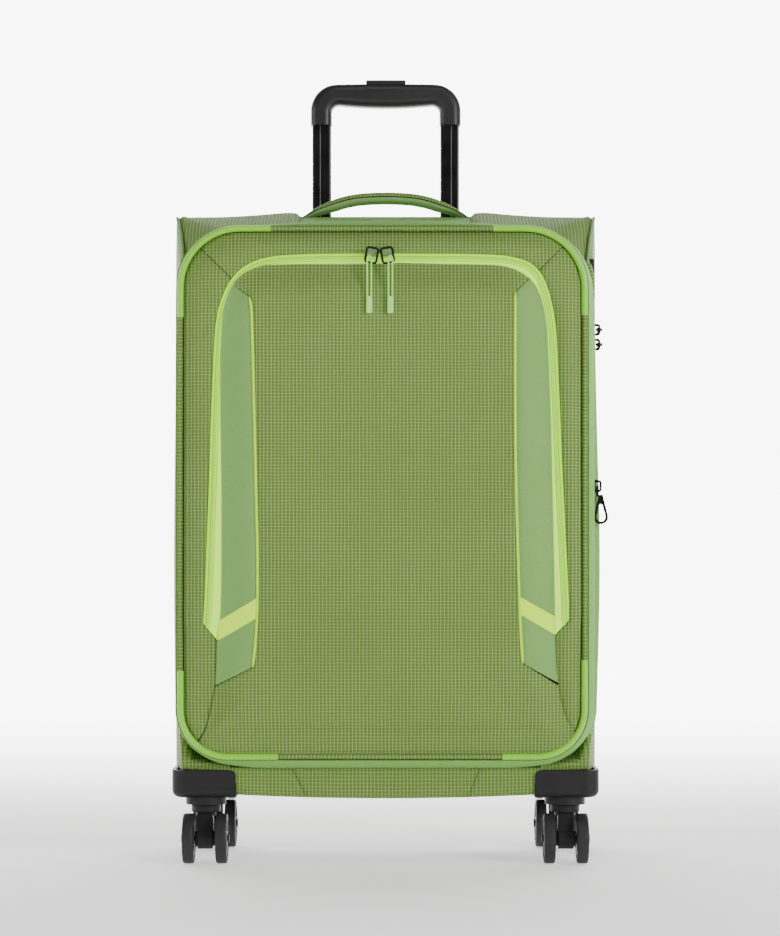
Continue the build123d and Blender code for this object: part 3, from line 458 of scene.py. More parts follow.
def tube(path, radius, sides=12, closed=False):
    """A round tube along a path, with flat ends unless it is closed into a ring."""
    path = np.asarray(path, float)
    count = len(path)
    if closed:
        along = np.roll(path, -1, axis=0) - np.roll(path, 1, axis=0)
    else:
        along = np.gradient(path, axis=0)
    along /= np.linalg.norm(along, axis=1, keepdims=True)
    up = np.array([0.0, 1.0, 0.0])
    if abs(along @ up).max() > 0.95:
        up = np.array([1.0, 0.0, 0.0]) if abs(along @ [1, 0, 0]).max() < 0.95 else np.array([0.0, 0.0, 1.0])
    side = np.cross(along, up)
    side /= np.linalg.norm(side, axis=1, keepdims=True)
    other = np.cross(side, along)
    radii = np.broadcast_to(np.asarray(radius, float), (count,))
    angle = np.linspace(0, 2 * math.pi, sides, endpoint=False)
    ring = side[:, None] * np.cos(angle)[None, :, None] + other[:, None] * np.sin(angle)[None, :, None]
    verts = (path[:, None] + ring * radii[:, None, None]).reshape(-1, 3)
    steps = lengths(np.concatenate([path, path[:1]])) if closed else lengths(path)
    girth = 2 * math.pi * radii.mean() / sides
    faces, loops = [], []
    for k in range(count if closed else count - 1):
        nxt = (k + 1) % count
        for s in range(sides):
            t = (s + 1) % sides
            faces.append((k * sides + s, k * sides + t, nxt * sides + t, nxt * sides + s))
            loops += [
                (steps[k], s * girth),
                (steps[k], (s + 1) * girth),
                (steps[k + 1], (s + 1) * girth),
                (steps[k + 1], s * girth),
            ]
    if not closed:
        faces.append(tuple(range(sides))[::-1])
        loops += [(0.5 * k, 0) for k in range(sides)]
        last = (count - 1) * sides
        faces.append(tuple(last + s for s in range(sides)))
        loops += [(0.5 * k, 0) for k in range(sides)]
    return verts, faces, loops


def stitches(path, pitch=3.6, length=2.5, radius=0.33):
    """A row of sewn stitches on a path, each a short thread that dips at its ends."""
    path = np.asarray(path, float)
    far = lengths(path)
    made = []
    count = int(far[-1] / pitch)
    for k in range(count):
        start = (k + 0.5) * pitch - length / 2
        at = np.linspace(start, start + length, 4)
        line = np.stack([np.interp(at, far, path[:, c]) for c in range(3)], 1)
        radii = radius * np.array([0.55, 1.0, 1.0, 0.55])
        made.append(tube(line, radii, sides=5))
    return join(made)


def rounded_loop(half_w, low, high, r_low, r_high, count=360, middle=0.0):
    """A rounded rectangle in XZ as evenly spaced points, from its bottom middle, anticlockwise."""
    parts = [np.array([[0.0, low]])]
    for cx, cz, r, start in (
        (half_w - r_low, low + r_low, r_low, -90),
        (half_w - r_high, high - r_high, r_high, 0),
        (-half_w + r_high, high - r_high, r_high, 90),
        (-half_w + r_low, low + r_low, r_low, 180),
    ):
        angle = np.radians(np.linspace(start, start + 90, 24))
        parts.append(np.stack([cx + r * np.cos(angle), cz + r * np.sin(angle)], 1))
    parts.append(np.array([[0.0, low]]))
    return resample(np.concatenate(parts), count + 1)[:-1] + [middle, 0]


def distance_to(x, z, path):
    """The distance from each (x, z) to a polyline."""
    best = np.full(np.shape(x), 1e9)
    for (ax, az), (bx, bz) in zip(path[:-1], path[1:]):
        dx, dz = bx - ax, bz - az
        t = np.clip(((x - ax) * dx + (z - az) * dz) / (dx * dx + dz * dz + 1e-12), 0, 1)
        best = np.minimum(best, np.hypot(x - ax - t * dx, z - az - t * dz))
    return best


# ---------------------------------------------------------------- lid outline
LEAN = -3.0
LID = dict(half_w=205.0, low=104.0, high=636.0, r_low=50.0, r_high=62.0)
LID_MIDDLE_Z = 370.0
RIM_FRONT_Y, RIM_BACK_Y = -98.6, -81.0
BAND_FRONT_Y, BAND_BACK_Y = -71.5, -59.8
FACE_Y = -98.0


def lid_loop(out, count=420):
    """The lid's outline, moved outwards by out."""
    low_r, high_r = LID["r_low"] + out, LID["r_high"] + out
    return rounded_loop(LID["half_w"] + out, LID["low"] - out, LID["high"] + out, low_r, high_r, count)


def lid_bulge(loop, low_side, bottom, right, left, top):
    """How far the soft side of the lid stands out round its outline."""
    x, z = loop[:, 0], loop[:, 1]
    height = np.clip((z - LID["low"]) / (LID["high"] - LID["low"]), 0, 1)
    belly = ridge(z - 300, 140)
    side = np.where(x > 0, right + (low_side - right) * belly, left + 1.5 * belly)
    upright = ease((np.abs(x) - 120) / 70)
    flat = np.where(height > 0.5, top * np.exp(-((x / 120) ** 4)), bottom)
    corner = ridge(z - 640, 75) * ease((np.abs(x) - 90) / 60)
    return (side * upright + flat * (1 - upright)) * (1 - 0.9 * corner)


def ring_skin(name, rows, body, material, thick=1.2, count=420):
    """A band round the lid. rows is a list of (y, outward shift as a number or an array)."""
    loops = []
    base = lid_loop(0, count)
    along = np.roll(base, -1, axis=0) - np.roll(base, 1, axis=0)
    normal = np.stack([along[:, 1], -along[:, 0]], 1)
    normal /= np.linalg.norm(normal, axis=1, keepdims=True)
    for y, out in rows:
        moved = base + normal * (np.reshape(out, (-1, 1)) if np.ndim(out) else out)
        lean = LEAN * ease((RIM_BACK_Y - y) / 16.0)
        loops.append(xyz(moved + [lean, 0], y))
    points = np.stack(loops)
    far = lengths(np.concatenate([base, base[:1]]))
    across = np.array([y for y, _ in rows])
    inward = xyz(np.broadcast_to([0.0, LID_MIDDLE_Z], (count, 2)), points[len(rows) // 2, :, 1])
    shell = skin(points, grid(far[None, :], across[:, None]), thick, wrap=True, inward=inward[None])
    return add_piece(name, shell, body, material)


# ---------------------------------------------------------------- lid sides: band, zippers, rim
base_loop = lid_loop(0)
BAND_BULGE = lid_bulge(base_loop, 9.0, 8.0, 4.5, 1.6, 5.0)
RIM_BULGE = lid_bulge(base_loop, 3.6, 6.5, 2.6, 0.8, 3.0)
VALLEY = lid_bulge(base_loop, 2.0, 3.6, 1.8, 1.8, 3.2)

rim_rows = []
for y in np.linspace(RIM_FRONT_Y, RIM_BACK_Y, 9):
    share = (y - RIM_FRONT_Y) / (RIM_BACK_Y - RIM_FRONT_Y)
    rim_rows.append((y, 0.2 + (VALLEY - 0.2) * ease(share) + RIM_BULGE * math.sin(math.pi * share) ** 0.8))
ring_skin("lid_rim", rim_rows, "lid_front", PLAIN)
band_rows = []
for y in np.linspace(BAND_FRONT_Y, BAND_BACK_Y, 11):
    share = ease((y - BAND_FRONT_Y) / 11.5)
    puff = math.sin(math.pi * (y - BAND_FRONT_Y) / (BAND_BACK_Y - BAND_FRONT_Y)) ** 1.3
    band_rows.append((y, VALLEY * (1 - share) + 0.8 * share + BAND_BULGE * puff))
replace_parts(ring_skin("lid_band_cloth", band_rows, "lid_band", PLAIN), "lid_band")


def zip_half(name, body, edge_y, teeth_y, out_edge, out_teeth, material):
    """Half of a closed coil zipper that runs round the lid: its tape and its row of coils."""
    rows = []
    for s in np.linspace(0, 1, 7):
        y = edge_y + (teeth_y - edge_y) * s
        out = out_edge + (out_teeth - out_edge) * s
        coil = 0.9 * ease((s - 0.55) / 0.2) * (1 - 0.4 * ease((s - 0.85) / 0.15))
        rows.append((y, out - 0.5 + coil))
    ring_skin(name, rows, body, material, thick=0.9)


zip_half("expansion_zip_front", "lid_front", -81.2, -76.15, VALLEY + 0.2, VALLEY - 0.2, PLAIN)
zip_half("expansion_zip_back", "lid_band", -71.3, -75.85, VALLEY + 0.2, VALLEY - 0.2, PLAIN)
zip_half("main_zip_lid", "lid_band", -60.2, -56.15, 0.9, 1.4, PLAIN)

# The cloth folded under the expansion zipper. It is not attached to any part, so it stays where it is.
fold_depths = np.linspace(-79.6, -72.2, 17)
fold_rows = [(y, -2.2 - 1.2 * math.sin(math.pi * (y + 79.6) / 7.4) ** 2) for y in fold_depths]
gusset = ring_skin("expansion_gusset_cloth", fold_rows, None, PLAIN, thick=0.8)
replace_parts(gusset, "expansion_gusset")
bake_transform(gusset)

# ---------------------------------------------------------------- piping round the lid's front
pipe_loop = lid_loop(-4.0, 520) + [LEAN, 0]
pipe_ring = tube(xyz(pipe_loop, -100.6), 2.75, 14, closed=True)
add_piece("lid_piping", pipe_ring, "lid_front", GRID)

# ---------------------------------------------------------------- front of the lid
ZIP_OUTER = [
    (-180.4, 240.8), (-179.2, 263.5), (-174.6, 382.2), (-172.1, 461.3), (-168.6, 530.6), (-165.2, 552.0),
    (-157.7, 572.5), (-149.2, 585.2), (-138.9, 594.0), (-125.5, 600.3), (-109.2, 603.8), (-80.0, 605.8),
    (-40.0, 606.3), (0.0, 606.4), (40.0, 606.3), (80.0, 606.0), (113.3, 604.8), (128.5, 602.3),
    (143.0, 597.2), (153.5, 587.0), (160.8, 571.5), (165.6, 552.0), (168.7, 530.6), (172.2, 461.0),
    (175.1, 392.1), (181.3, 263.5), (181.5, 243.8),
]
ZIP_INNER = [
    (-166.6, 224.0), (-162.9, 253.6), (-162.2, 362.4), (-163.2, 461.3), (-161.7, 535.0), (-159.0, 556.0),
    (-152.4, 573.0), (-144.5, 583.0), (-134.0, 589.9), (-122.5, 593.8), (-109.2, 595.0), (-80.0, 595.7),
    (-40.0, 595.9), (0.0, 596.0), (40.0, 595.9), (80.0, 595.6), (113.3, 594.2), (127.0, 590.8),
    (138.0, 584.8), (147.5, 576.0), (153.6, 563.5), (157.6, 547.0), (159.8, 530.6), (163.0, 461.0),
    (164.7, 392.1), (167.4, 263.5), (167.7, 228.9),
]
SEAM_LEFT = [
    (-187.6, 121.5), (-184.2, 126.3), (-177.9, 137.0), (-172.4, 158.0), (-168.6, 178.0), (-166.6, 224.0),
]
SEAM_RIGHT = [(187.8, 128.5), (184.6, 133.5), (178.5, 147.0), (173.6, 166.0), (169.6, 192.0), (167.7, 228.9)]
zip_outer = smooth_path(ZIP_OUTER, 420)


def match(path, target):
    """Resamples path so that each point is across from the target's, in the same order."""
    dense = resample(path, 4 * len(target))
    picks, start = [], 0
    for point in target:
        window = dense[start : start + 60]
        near = start + int(np.argmin(np.linalg.norm(window - point, axis=1)))
        picks.append(near)
        start = near
    spread = np.array(picks, float)
    spread[0], spread[-1] = 0, len(dense) - 1
    spread = np.concatenate([np.full(7, spread[0]), spread, np.full(7, spread[-1])])
    spread = np.convolve(spread, np.ones(15) / 15, "valid")
    spread = np.maximum.accumulate(spread)
    spread[0], spread[-1] = 0, len(dense) - 1
    index = np.arange(len(dense))
    return np.stack([np.interp(spread, index, dense[:, k]) for k in range(2)], 1)


zip_inner = match(smooth_path(ZIP_INNER, 420), zip_outer)
seam_left = smooth_path(SEAM_LEFT, 60)
seam_right = smooth_path(SEAM_RIGHT, 60)
POCKET_EDGE = np.concatenate([seam_left[:-1], zip_inner, seam_right[::-1][1:]])
PIPE_LEFT = [
    (-130.6, 197.6), (-127.9, 224.2), (-126.4, 253.8), (-126.0, 303.1), (-127.4, 370.0), (-129.1, 441.2),
    (-131.0, 520.0), (-132.0, 549.7), (-134.1, 562.5),
]
PIPE_RIGHT = [
    (135.2, 201.5), (133.7, 224.2), (131.9, 263.7), (129.6, 342.6), (128.2, 400.0), (127.8, 441.2),
    (127.7, 500.0), (127.8, 550.0), (127.9, 567.4),
]
SLANT_TOP_LEFT = [(-151.8, 576.5), (-134.1, 562.5)]
SLANT_TOP_RIGHT = [(143.4, 582.0), (127.9, 567.4)]
SLANT_LOW_LEFT = [(-167.6, 178.5), (-130.6, 197.6)]
SLANT_LOW_RIGHT = [(169.6, 180.0), (135.2, 201.5)]


def edge_forward(z):
    """How far forward of the lid's rim plane the pocket's edge stands, at height z."""
    return np.interp(z, [100, 122, 135, 180, 240, 300, 640], [0.6, 1.5, 3.6, 9.5, 13.0, 13.6, 13.6])


def pocket_y(x, z):
    """The depth of the pocket's front at (x, z)."""
    inside = distance_to(x, z, POCKET_EDGE)
    rise = ease(inside / 34.0) ** 0.8
    forward = edge_forward(z)
    crown = 1.6 * np.cos(np.clip(x / 170, -1, 1) * math.pi / 2) * np.clip((z - 130) / 80, 0, 1)
    side = forward + (27.0 - forward) * rise + crown
    under = np.interp(
        z,
        [104, 112, 122, 129, 133, 138, 145, 155, 170, 190, 215],
        [0.4, 1.6, 4.6, 6.2, 7.6, 12.5, 17.6, 21.4, 24.6, 27.0, 28.8],
    )
    under = under - 1.2 * np.cos(x / 38.0) * ridge(z - 150, 26)
    blend = 3.2
    total = -blend * np.log(np.exp(-side / blend) + np.exp(-under / blend)) + 1.3
    for path, depth, width in (
        (PIPE_LEFT, 1.2, 2.6),
        (PIPE_RIGHT, 1.2, 2.6),
        (SLANT_TOP_LEFT, 1.0, 1.8),
        (SLANT_TOP_RIGHT, 1.0, 1.8),
        (SLANT_LOW_LEFT, 1.0, 1.8),
        (SLANT_LOW_RIGHT, 1.0, 1.8),
    ):
        total = total - depth * ridge(distance_to(x, z, path), width)
    total = total - 0.35 * np.sin(x / 61.0 + 1.0) * np.sin(z / 83.0)
    total = total - 0.25 * np.sin(x / 23.0) * np.sin(z / 37.0 + 0.5)
    return FACE_Y - np.minimum(total, 30.5)


# Border between the piping and the pocket's zipper.
FRAME_COUNT = 2400
dense_frame = lid_loop(-5.8, FRAME_COUNT) + [LEAN, 0]


def frame_index(x, z):
    """The index on the lid's inset outline that is nearest to a point."""
    return int(np.argmin(np.hypot(dense_frame[:, 0] - x, dense_frame[:, 1] - z)))


border_inner = np.concatenate([seam_left[:-1], zip_outer, seam_right[::-1][1:]])
KEYS = [
    # a point on the border's inner edge, and the one across from it on the lid's outline
    ((-187.6, 121.5), (-188.5, 122.5)),
    ((-172.4, 158.0), (-200.0, 158.0)),
    ((-166.6, 222.0), (-200.0, 222.0)),
    ((-180.4, 240.8), (-200.0, 244.0)),
    ((-172.1, 461.3), (-200.0, 466.0)),
    ((-168.6, 530.6), (-200.0, 548.0)),
    ((-151.0, 583.2), (-183.3, 614.3)),
    ((-109.2, 603.8), (-120.0, 631.0)),
    ((0.0, 606.4), (0.0, 631.0)),
    ((113.3, 604.8), (120.0, 631.0)),
    ((152.0, 588.9), (183.3, 614.3)),
    ((168.7, 530.6), (200.0, 548.0)),
    ((172.2, 461.0), (200.0, 466.0)),
    ((181.5, 243.8), (200.0, 248.0)),
    ((168.0, 228.0), (200.0, 228.0)),
    ((173.6, 166.0), (200.0, 166.0)),
    ((187.8, 128.5), (188.8, 127.9)),
]
inner_far = lengths(border_inner)
inner_at, outer_at = [], []
for inner_point, outer_point in KEYS:
    nearest = int(np.argmin(np.linalg.norm(border_inner - inner_point, axis=1)))
    inner_at.append(inner_far[nearest])
    outer_at.append(frame_index(*outer_point))
along = np.linspace(0, inner_far[-1], 760)
inner_line = np.stack([np.interp(along, inner_far, border_inner[:, k]) for k in range(2)], 1)
outer_index = np.interp(along, inner_at, outer_at)
low_index = np.floor(outer_index).astype(int) % FRAME_COUNT
step_on = dense_frame[(low_index + 1) % FRAME_COUNT] - dense_frame[low_index]
outer_line = dense_frame[low_index] + (outer_index - np.floor(outer_index))[:, None] * step_on
inwards = np.linspace(0, 1, 16)[:, None]
flat = outer_line[None] * (1 - inwards[..., None]) + inner_line[None] * inwards[..., None]
reach = edge_forward(inner_line[:, 1]) - 0.4
width = np.linalg.norm(outer_line - inner_line, axis=1)
profile = 0.3 + (reach[None] - 0.3) * (1 - (1 - inwards) ** 2.5)
profile = profile + np.minimum(width, 30)[None] * 0.09 * np.sin(math.pi * inwards)
profile = profile - 2.0 * ridge(inwards * width[None], 2.4)
by_zip = ease((inner_line[:, 1] - 232) / 12)[None]
profile = profile - 1.1 * by_zip * ridge((1 - inwards) * width[None], 2.2)
DIAGONALS = [[(-185.5, 614.2), (-152.0, 581.0)], [(180.0, 618.0), (149.9, 587.5)]]
for diagonal in DIAGONALS:
    profile = profile - 1.0 * ridge(distance_to(flat[..., 0], flat[..., 1], diagonal), 1.7)
border = grid(flat[..., 0], FACE_Y - profile, flat[..., 1])
border_cloth = add_piece("lid_border_cloth", skin(border, flat, 1.3), "lid_front", GRID)

# The pocket's zipper: an outer tape, two coils and a wide inner tape.
across = np.linspace(0, 1, 34)
band_width = np.linalg.norm(zip_outer - zip_inner, axis=1)
zip_flat = zip_outer[None] * (1 - across[:, None, None]) + zip_inner[None] * across[:, None, None]
from_outer = across[:, None] * band_width[None]
tape = (
    0.6 * ease(from_outer / 0.7)
    - 0.8 * ridge(from_outer - 2.9, 0.45)
    + 1.1 * ridge(from_outer - 4.3, 0.75)
    + 1.1 * ridge(from_outer - 5.9, 0.75)
    - 0.9 * ridge(from_outer - 7.3, 0.45)
    - 0.5 * ease((from_outer - band_width[None] + 0.8) / 0.8)
)
outer_forward, inner_forward = edge_forward(zip_outer[:, 1]), edge_forward(zip_inner[:, 1]) + 0.6
zip_forward = outer_forward[None] + (inner_forward - outer_forward)[None] * across[:, None]
zip_points = grid(zip_flat[..., 0], FACE_Y - zip_forward - tape + 0.4, zip_flat[..., 1])
zip_uv = grid(lengths(zip_outer)[None], from_outer)
zip_halves = []
for half_name, picked, body in (("outer", across < 0.36, "lid_front"), ("inner", across > 0.33, None)):
    half = skin(zip_points[picked], zip_uv[picked], 1.2)
    zip_halves.append(add_piece(f"pocket_zip_{half_name}", half, body, LIME_ZIP))
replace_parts(zip_halves[0], "pocket_zipper")

# Pocket front, middle panel. Each of its sides rises along the seam, the slants, the piping and the zipper.
LOW_CORNER_LEFT, LOW_CORNER_RIGHT = 178.0, 180.0
low_seam_left = seam_left[:-1][seam_left[:-1, 1] < LOW_CORNER_LEFT]
low_seam_right = seam_right[:-1][seam_right[:-1, 1] < LOW_CORNER_RIGHT]
top_left = zip_inner[(zip_inner[:, 0] < 0) & (zip_inner[:, 1] > 576.9)]
top_right = zip_inner[(zip_inner[:, 0] > 0) & (zip_inner[:, 1] > 582.4)][::-1]
left_run = [low_seam_left, SLANT_LOW_LEFT, PIPE_LEFT[1:-1], SLANT_TOP_LEFT[::-1], top_left]
right_run = [low_seam_right, SLANT_LOW_RIGHT, PIPE_RIGHT[1:-1], SLANT_TOP_RIGHT[::-1], top_right]
outline_left, outline_right = np.concatenate(left_run), np.concatenate(right_run)


def edge_at(outline, z):
    """X on one side of the middle panel, at each height z. The outline rises all the way."""
    rising = np.maximum.accumulate(outline[:, 1] + np.arange(len(outline)) * 1e-4)
    return np.interp(z, rising, outline[:, 0])


levels = np.concatenate(
    [
        np.linspace(122.5, 142, 12, endpoint=False),
        np.linspace(142, 176, 16, endpoint=False),
        np.linspace(176, 204, 20, endpoint=False),
        np.linspace(204, 560, 110, endpoint=False),
        np.linspace(560, 596, 30),
    ]
)
u = 0.5 - 0.5 * np.cos(math.pi * np.linspace(0.12, 0.88, 150))
u = (u - u[0]) / (u[-1] - u[0])
left_x, right_x = edge_at(outline_left, levels), edge_at(outline_right, levels)
panel_x = left_x[:, None] * (1 - u[None]) + right_x[:, None] * u[None]
panel_z = np.broadcast_to(levels[:, None], panel_x.shape)
bottom = dense_frame[dense_frame[:, 1] < 140]
bottom = bottom[np.argsort(bottom[:, 0])]
bottom_z = np.interp(panel_x[:1], bottom[:, 0], bottom[:, 1])
rise = np.clip((levels - 122.5) / 30.0, 0, 1)[:, None]
panel_z = np.where(rise < 1, bottom_z + rise * (152.5 - bottom_z), panel_z)
panel = skin(grid(panel_x, pocket_y(panel_x, panel_z), panel_z), grid(panel_x, panel_z), 1.4)
pocket_front = add_piece("pocket_front_cloth", panel, None, GRID)


def between(left, right, rows, cols, thick, lift=0.0):
    """A skin on the pocket's front between two lines that run upwards."""
    a, b = resample(left, rows), resample(right, rows)
    k = np.linspace(0, 1, cols)[None, :, None]
    spot = a[:, None] * (1 - k) + b[:, None] * k
    y = pocket_y(spot[..., 0], spot[..., 1]) - lift
    return skin(grid(spot[..., 0], y, spot[..., 1]), spot, thick)


high_seam_left = seam_left[:-1][seam_left[:-1, 1] >= LOW_CORNER_LEFT]
high_seam_right = seam_right[:-1][seam_right[:-1, 1] >= LOW_CORNER_RIGHT]
side_left = zip_inner[(zip_inner[:, 0] < 0) & (zip_inner[:, 1] < 577)]
side_right = zip_inner[(zip_inner[:, 0] > 0) & (zip_inner[:, 1] < 582.4)][::-1]
parts = [
    between(np.concatenate([high_seam_left, side_left]), smooth_path(PIPE_LEFT, 200), 150, 26, 1.4),
    between(np.concatenate([high_seam_right, side_right]), smooth_path(PIPE_RIGHT, 200), 150, 26, 1.4),
]
side_cloth = add_piece("pocket_side_cloth", join(parts), None, SAGE)

# Lime stripes across the side panels, and lime piping up their inner edges.
STRIPES = [
    ([(-165.8, 223.6), (-127.6, 245.6)], [(-163.9, 243.4), (-126.9, 265.4)]),
    ([(132.9, 249.6), (167.6, 229.4)], [(131.4, 267.4), (167.3, 247.4)]),
]
parts = [between(low_line, high_line, 40, 18, 1.2, lift=0.9) for low_line, high_line in STRIPES]
stripe_cloth = add_piece("pocket_stripes", join(parts), None, LIME)
parts = []
for pipe in (PIPE_LEFT, PIPE_RIGHT):
    line = smooth_path(pipe, 200)
    path = xyz(line, pocket_y(line[:, 0], line[:, 1]) - 0.9)
    radii = 1.35 * np.clip(np.minimum(np.arange(200), np.arange(200)[::-1]) / 4 + 0.35, 0, 1)
    parts.append(tube(path, radii, 10))
pocket_pipes = add_piece("pocket_piping", join(parts), None, LIME_CORD)

# Stitching along the seams of the front.
parts = []
for diagonal in DIAGONALS:
    line = resample(diagonal, 40)
    near = [int(np.argmin(np.hypot(flat[..., 0] - p[0], flat[..., 1] - p[1]))) for p in line]
    y = border.reshape(-1, 3)[near, 1]
    parts.append(stitches(xyz(line, y - 0.2), 3.2, 2.4, 0.5))
for seam in (SLANT_TOP_LEFT, SLANT_TOP_RIGHT, SLANT_LOW_LEFT, SLANT_LOW_RIGHT):
    line = resample(seam, 30)
    parts.append(stitches(xyz(line, pocket_y(line[:, 0], line[:, 1]) - 0.2), 3.0, 2.5, 0.42))
for seam in (seam_left, seam_right):
    line = resample(seam, 60)
    parts.append(stitches(xyz(line, FACE_Y - edge_forward(line[:, 1]) - 0.9), 3.4, 2.3, 0.3))
add_piece("front_stitches", join(parts), "lid_front", THREAD)

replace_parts(border_cloth, "lid_border")
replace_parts(pocket_front, "pocket_flap")
for soft in (pocket_front, side_cloth, stripe_cloth, pocket_pipes, zip_halves[1]):
    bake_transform(soft)

# ---------------------------------------------------------------- case shell
MOUTH_Y, TAPER_Y, BACK_Y = -54.0, 20.0, 124.0
HOUSING_SPANS = ((-102.0, -32.0), (66.0, 136.0))
HOUSING_TOP = 94.4
HOUSING_IN = 148.6
HANDLE_PATCH = 87.5
EDGE_R = 6.0
SINK = 3.4


def narrowing(y):
    """0 where the case is full size, rising to 1 at its mouth."""
    return min(max((TAPER_Y - y) / (TAPER_Y - MOUTH_Y), 0), 1)


def case_shape(y, inset):
    """The case's half width, bottom, top and its lower and upper corner radii at depth y."""
    t = narrowing(y)
    low_r, high_r = 14 + 12 * t, 9.5 + 50.5 * t**1.3
    return 216 - 9 * t - inset, 68 + inset, 660 - 22 * t - inset, low_r - inset, high_r - inset


def seam_angle(y):
    """How far round the case's upper corner its seam lies, in degrees above the side."""
    return 33.0 - 11.0 * narrowing(y)


def near_housing(y):
    """Whether a caster's corner guard covers the case's lower corner at depth y."""
    return any(low < y < high for low, high in HOUSING_SPANS)


def arc(cx, cz, r, start, end, count):
    """Points on a circle's arc, between two angles in degrees."""
    angle = np.radians(np.linspace(start, end, count))
    return np.stack([cx + r * np.cos(angle), cz + r * np.sin(angle)], 1)


def straight(a, b, count):
    """Points on the line from a to b."""
    k = np.linspace(0, 1, count)[:, None]
    return np.array(a, float) * (1 - k) + np.array(b, float) * k


def side_line(y, inset):
    """The case's right side at depth y, from its lower seam up to its upper one."""
    half, low, high, r_low, r_high = case_shape(y, inset)
    if near_housing(y):
        foot = straight((half, HOUSING_TOP), (half, HOUSING_TOP + 4), 14)
    else:
        foot = arc(half - r_low, low + r_low, r_low, -45, 0, 14)
    flat_part = straight(foot[-1], (half, high - r_high), 120)
    shoulder = arc(half - r_high, high - r_high, r_high, 0, seam_angle(y), 8)
    return np.concatenate([foot, flat_part[1:-1], shoulder])


def top_line(y, inset):
    """The case's top at depth y, from the handle's patch out to the right upper seam."""
    half, low, high, r_low, r_high = case_shape(y, inset)
    flat_part = straight((HANDLE_PATCH, high), (half - r_high, high), 50)
    return np.concatenate([flat_part[:-1], arc(half - r_high, high - r_high, r_high, 90, seam_angle(y), 26)])


def middle_line(y, inset):
    """The lowered patch under the carry handle."""
    height = case_shape(y, inset)[2] - 3.6
    return straight((-HANDLE_PATCH - 0.5, height), (HANDLE_PATCH + 0.5, height), 70)


def bottom_line(y, inset):
    """The case's bottom at depth y, from its left lower seam to its right one."""
    half, low, high, r_low, r_high = case_shape(y, inset)
    if near_housing(y):
        left = straight((-HOUSING_IN, low), (-HOUSING_IN + 2, low), 12)
    else:
        left = arc(-half + r_low, low + r_low, r_low, 225, 270, 12)
    right = left[::-1] * [-1, 1]
    return np.concatenate([left, straight(left[-1], right[0], 60)[1:-1], right])


PANEL_DEPTH = (MOUTH_Y, BACK_Y - EDGE_R)


def case_patch(line, puff, depth=PANEL_DEPTH, mirrored=False, step_edge=False, roll=True, lip=0.0):
    """A padded panel of the case, pinched in at its seams. line gives its section at a depth.

    step_edge drops the panel to the handle's patch at its start, roll turns it over the back edge, and
    lip raises it behind the mouth.
    """
    by_housings = {edge + shift for span in HOUSING_SPANS for edge in span for shift in (-0.4, 0.4)}
    depths = sorted({*np.linspace(*depth, 60), *by_housings})
    places = [(d, 0.0) for d in depths if depth[0] <= d <= depth[1]]
    if roll:
        for angle in np.radians([12, 28, 45, 62, 80]):
            places.append((BACK_Y - EDGE_R + EDGE_R * math.sin(angle), EDGE_R * (1 - math.cos(angle))))
    points = np.stack([xyz(line(y, inset), y) for y, inset in places])
    steps = np.linalg.norm(np.diff(points, axis=1), axis=2)
    across = np.concatenate([np.zeros((len(places), 1)), np.cumsum(steps, axis=1)], 1)
    down = np.array([y for y, _ in places])
    uv = grid(points[..., 0] if step_edge else across, down[:, None])
    normal = normals_of(points, False, CASE_MIDDLE)
    to_end = across[:, -1:] - across
    near = to_end if step_edge else np.minimum(across, to_end)
    swell = puff * (1 - np.exp(-near / 16)) - 1.0 * ridge(near, 1.8)
    if step_edge:
        swell = swell - SINK * (1 - ease(across / 5.0)) + 1.2 * ridge(across - 14, 16)
    fade = ease((down - depth[0] + 1.0) / 10.0) * ease((BACK_Y - down + 2.0) / 14.0)
    swell = swell * fade[:, None]
    x, y, z = points[..., 0], points[..., 1], points[..., 2]
    swell = swell + lip * ridge(down[:, None] + 50.0, 4.5) * ease(near / 5) * ease((z - 120) / 80)
    ripple = 0.25 * np.sin(y / 19.0 + z / 47.0) * np.sin(z / 31.0 + x / 29.0)
    points = points + normal * (swell + ripple * fade[:, None])[..., None]
    if step_edge:
        sink = SINK * ease((points[..., 0] - 100) / 75) * (1 - 0.5 * ease((points[..., 0] - 203) / 8))
        points[..., 2] -= sink * (1 - ease((points[..., 1] - 42) / 28))
    if mirrored:
        points = points * [-1, 1, 1]
        uv = uv * [-1, 1]
    return skin(points, uv, 1.4, inward=(0, 35, 364))


sides = join([case_patch(side_line, 0.2, lip=3.6), case_patch(side_line, 0.4, mirrored=True, lip=0.6)])
side_panels = add_piece("case_side_cloth", sides, "case", GRID)
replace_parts(side_panels, "left_side_panel", "right_side_panel")
tops = join([case_patch(top_line, 0.6, step_edge=True, mirrored=mirrored) for mirrored in (False, True)])
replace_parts(add_piece("case_top_cloth", tops, "case", GRID), "top_panel")
under_handle = case_patch(middle_line, 0.5, depth=(MOUTH_Y, 84.0), roll=False)
add_piece("case_top_middle", under_handle, "case", PLAIN)
bottom_cloth = add_piece("case_bottom_cloth", case_patch(bottom_line, -0.6), "case", LINING)
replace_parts(bottom_cloth, "bottom_panel")

# Back panel, and the strip of the top behind the trolley tray.
BACK_LOW, BACK_HIGH = 73.5, 655.5
levels_back = np.concatenate(
    [np.linspace(BACK_LOW, 94.0, 8), np.linspace(94.8, 640, 110), np.linspace(642, BACK_HIGH, 8)]
)
back_half = np.where(levels_back < HOUSING_TOP, HOUSING_IN, 211.5)
corner = np.clip((levels_back - 645.0) / 10.5, 0, 1)
back_half = back_half - 10 * (1 - np.sqrt(1 - np.minimum(corner, 0.98) ** 2))
back_x = back_half[:, None] * np.linspace(-1, 1, 90)[None]
back_z = np.broadcast_to(levels_back[:, None], back_x.shape)
edge_gap = np.minimum(back_half[:, None] - np.abs(back_x), np.minimum(back_z - BACK_LOW, BACK_HIGH - back_z))
back_y = 123.4 + 1.1 * (1 - np.exp(-edge_gap / 9)) + 0.2 * np.sin(back_x / 33) * np.sin(back_z / 41)
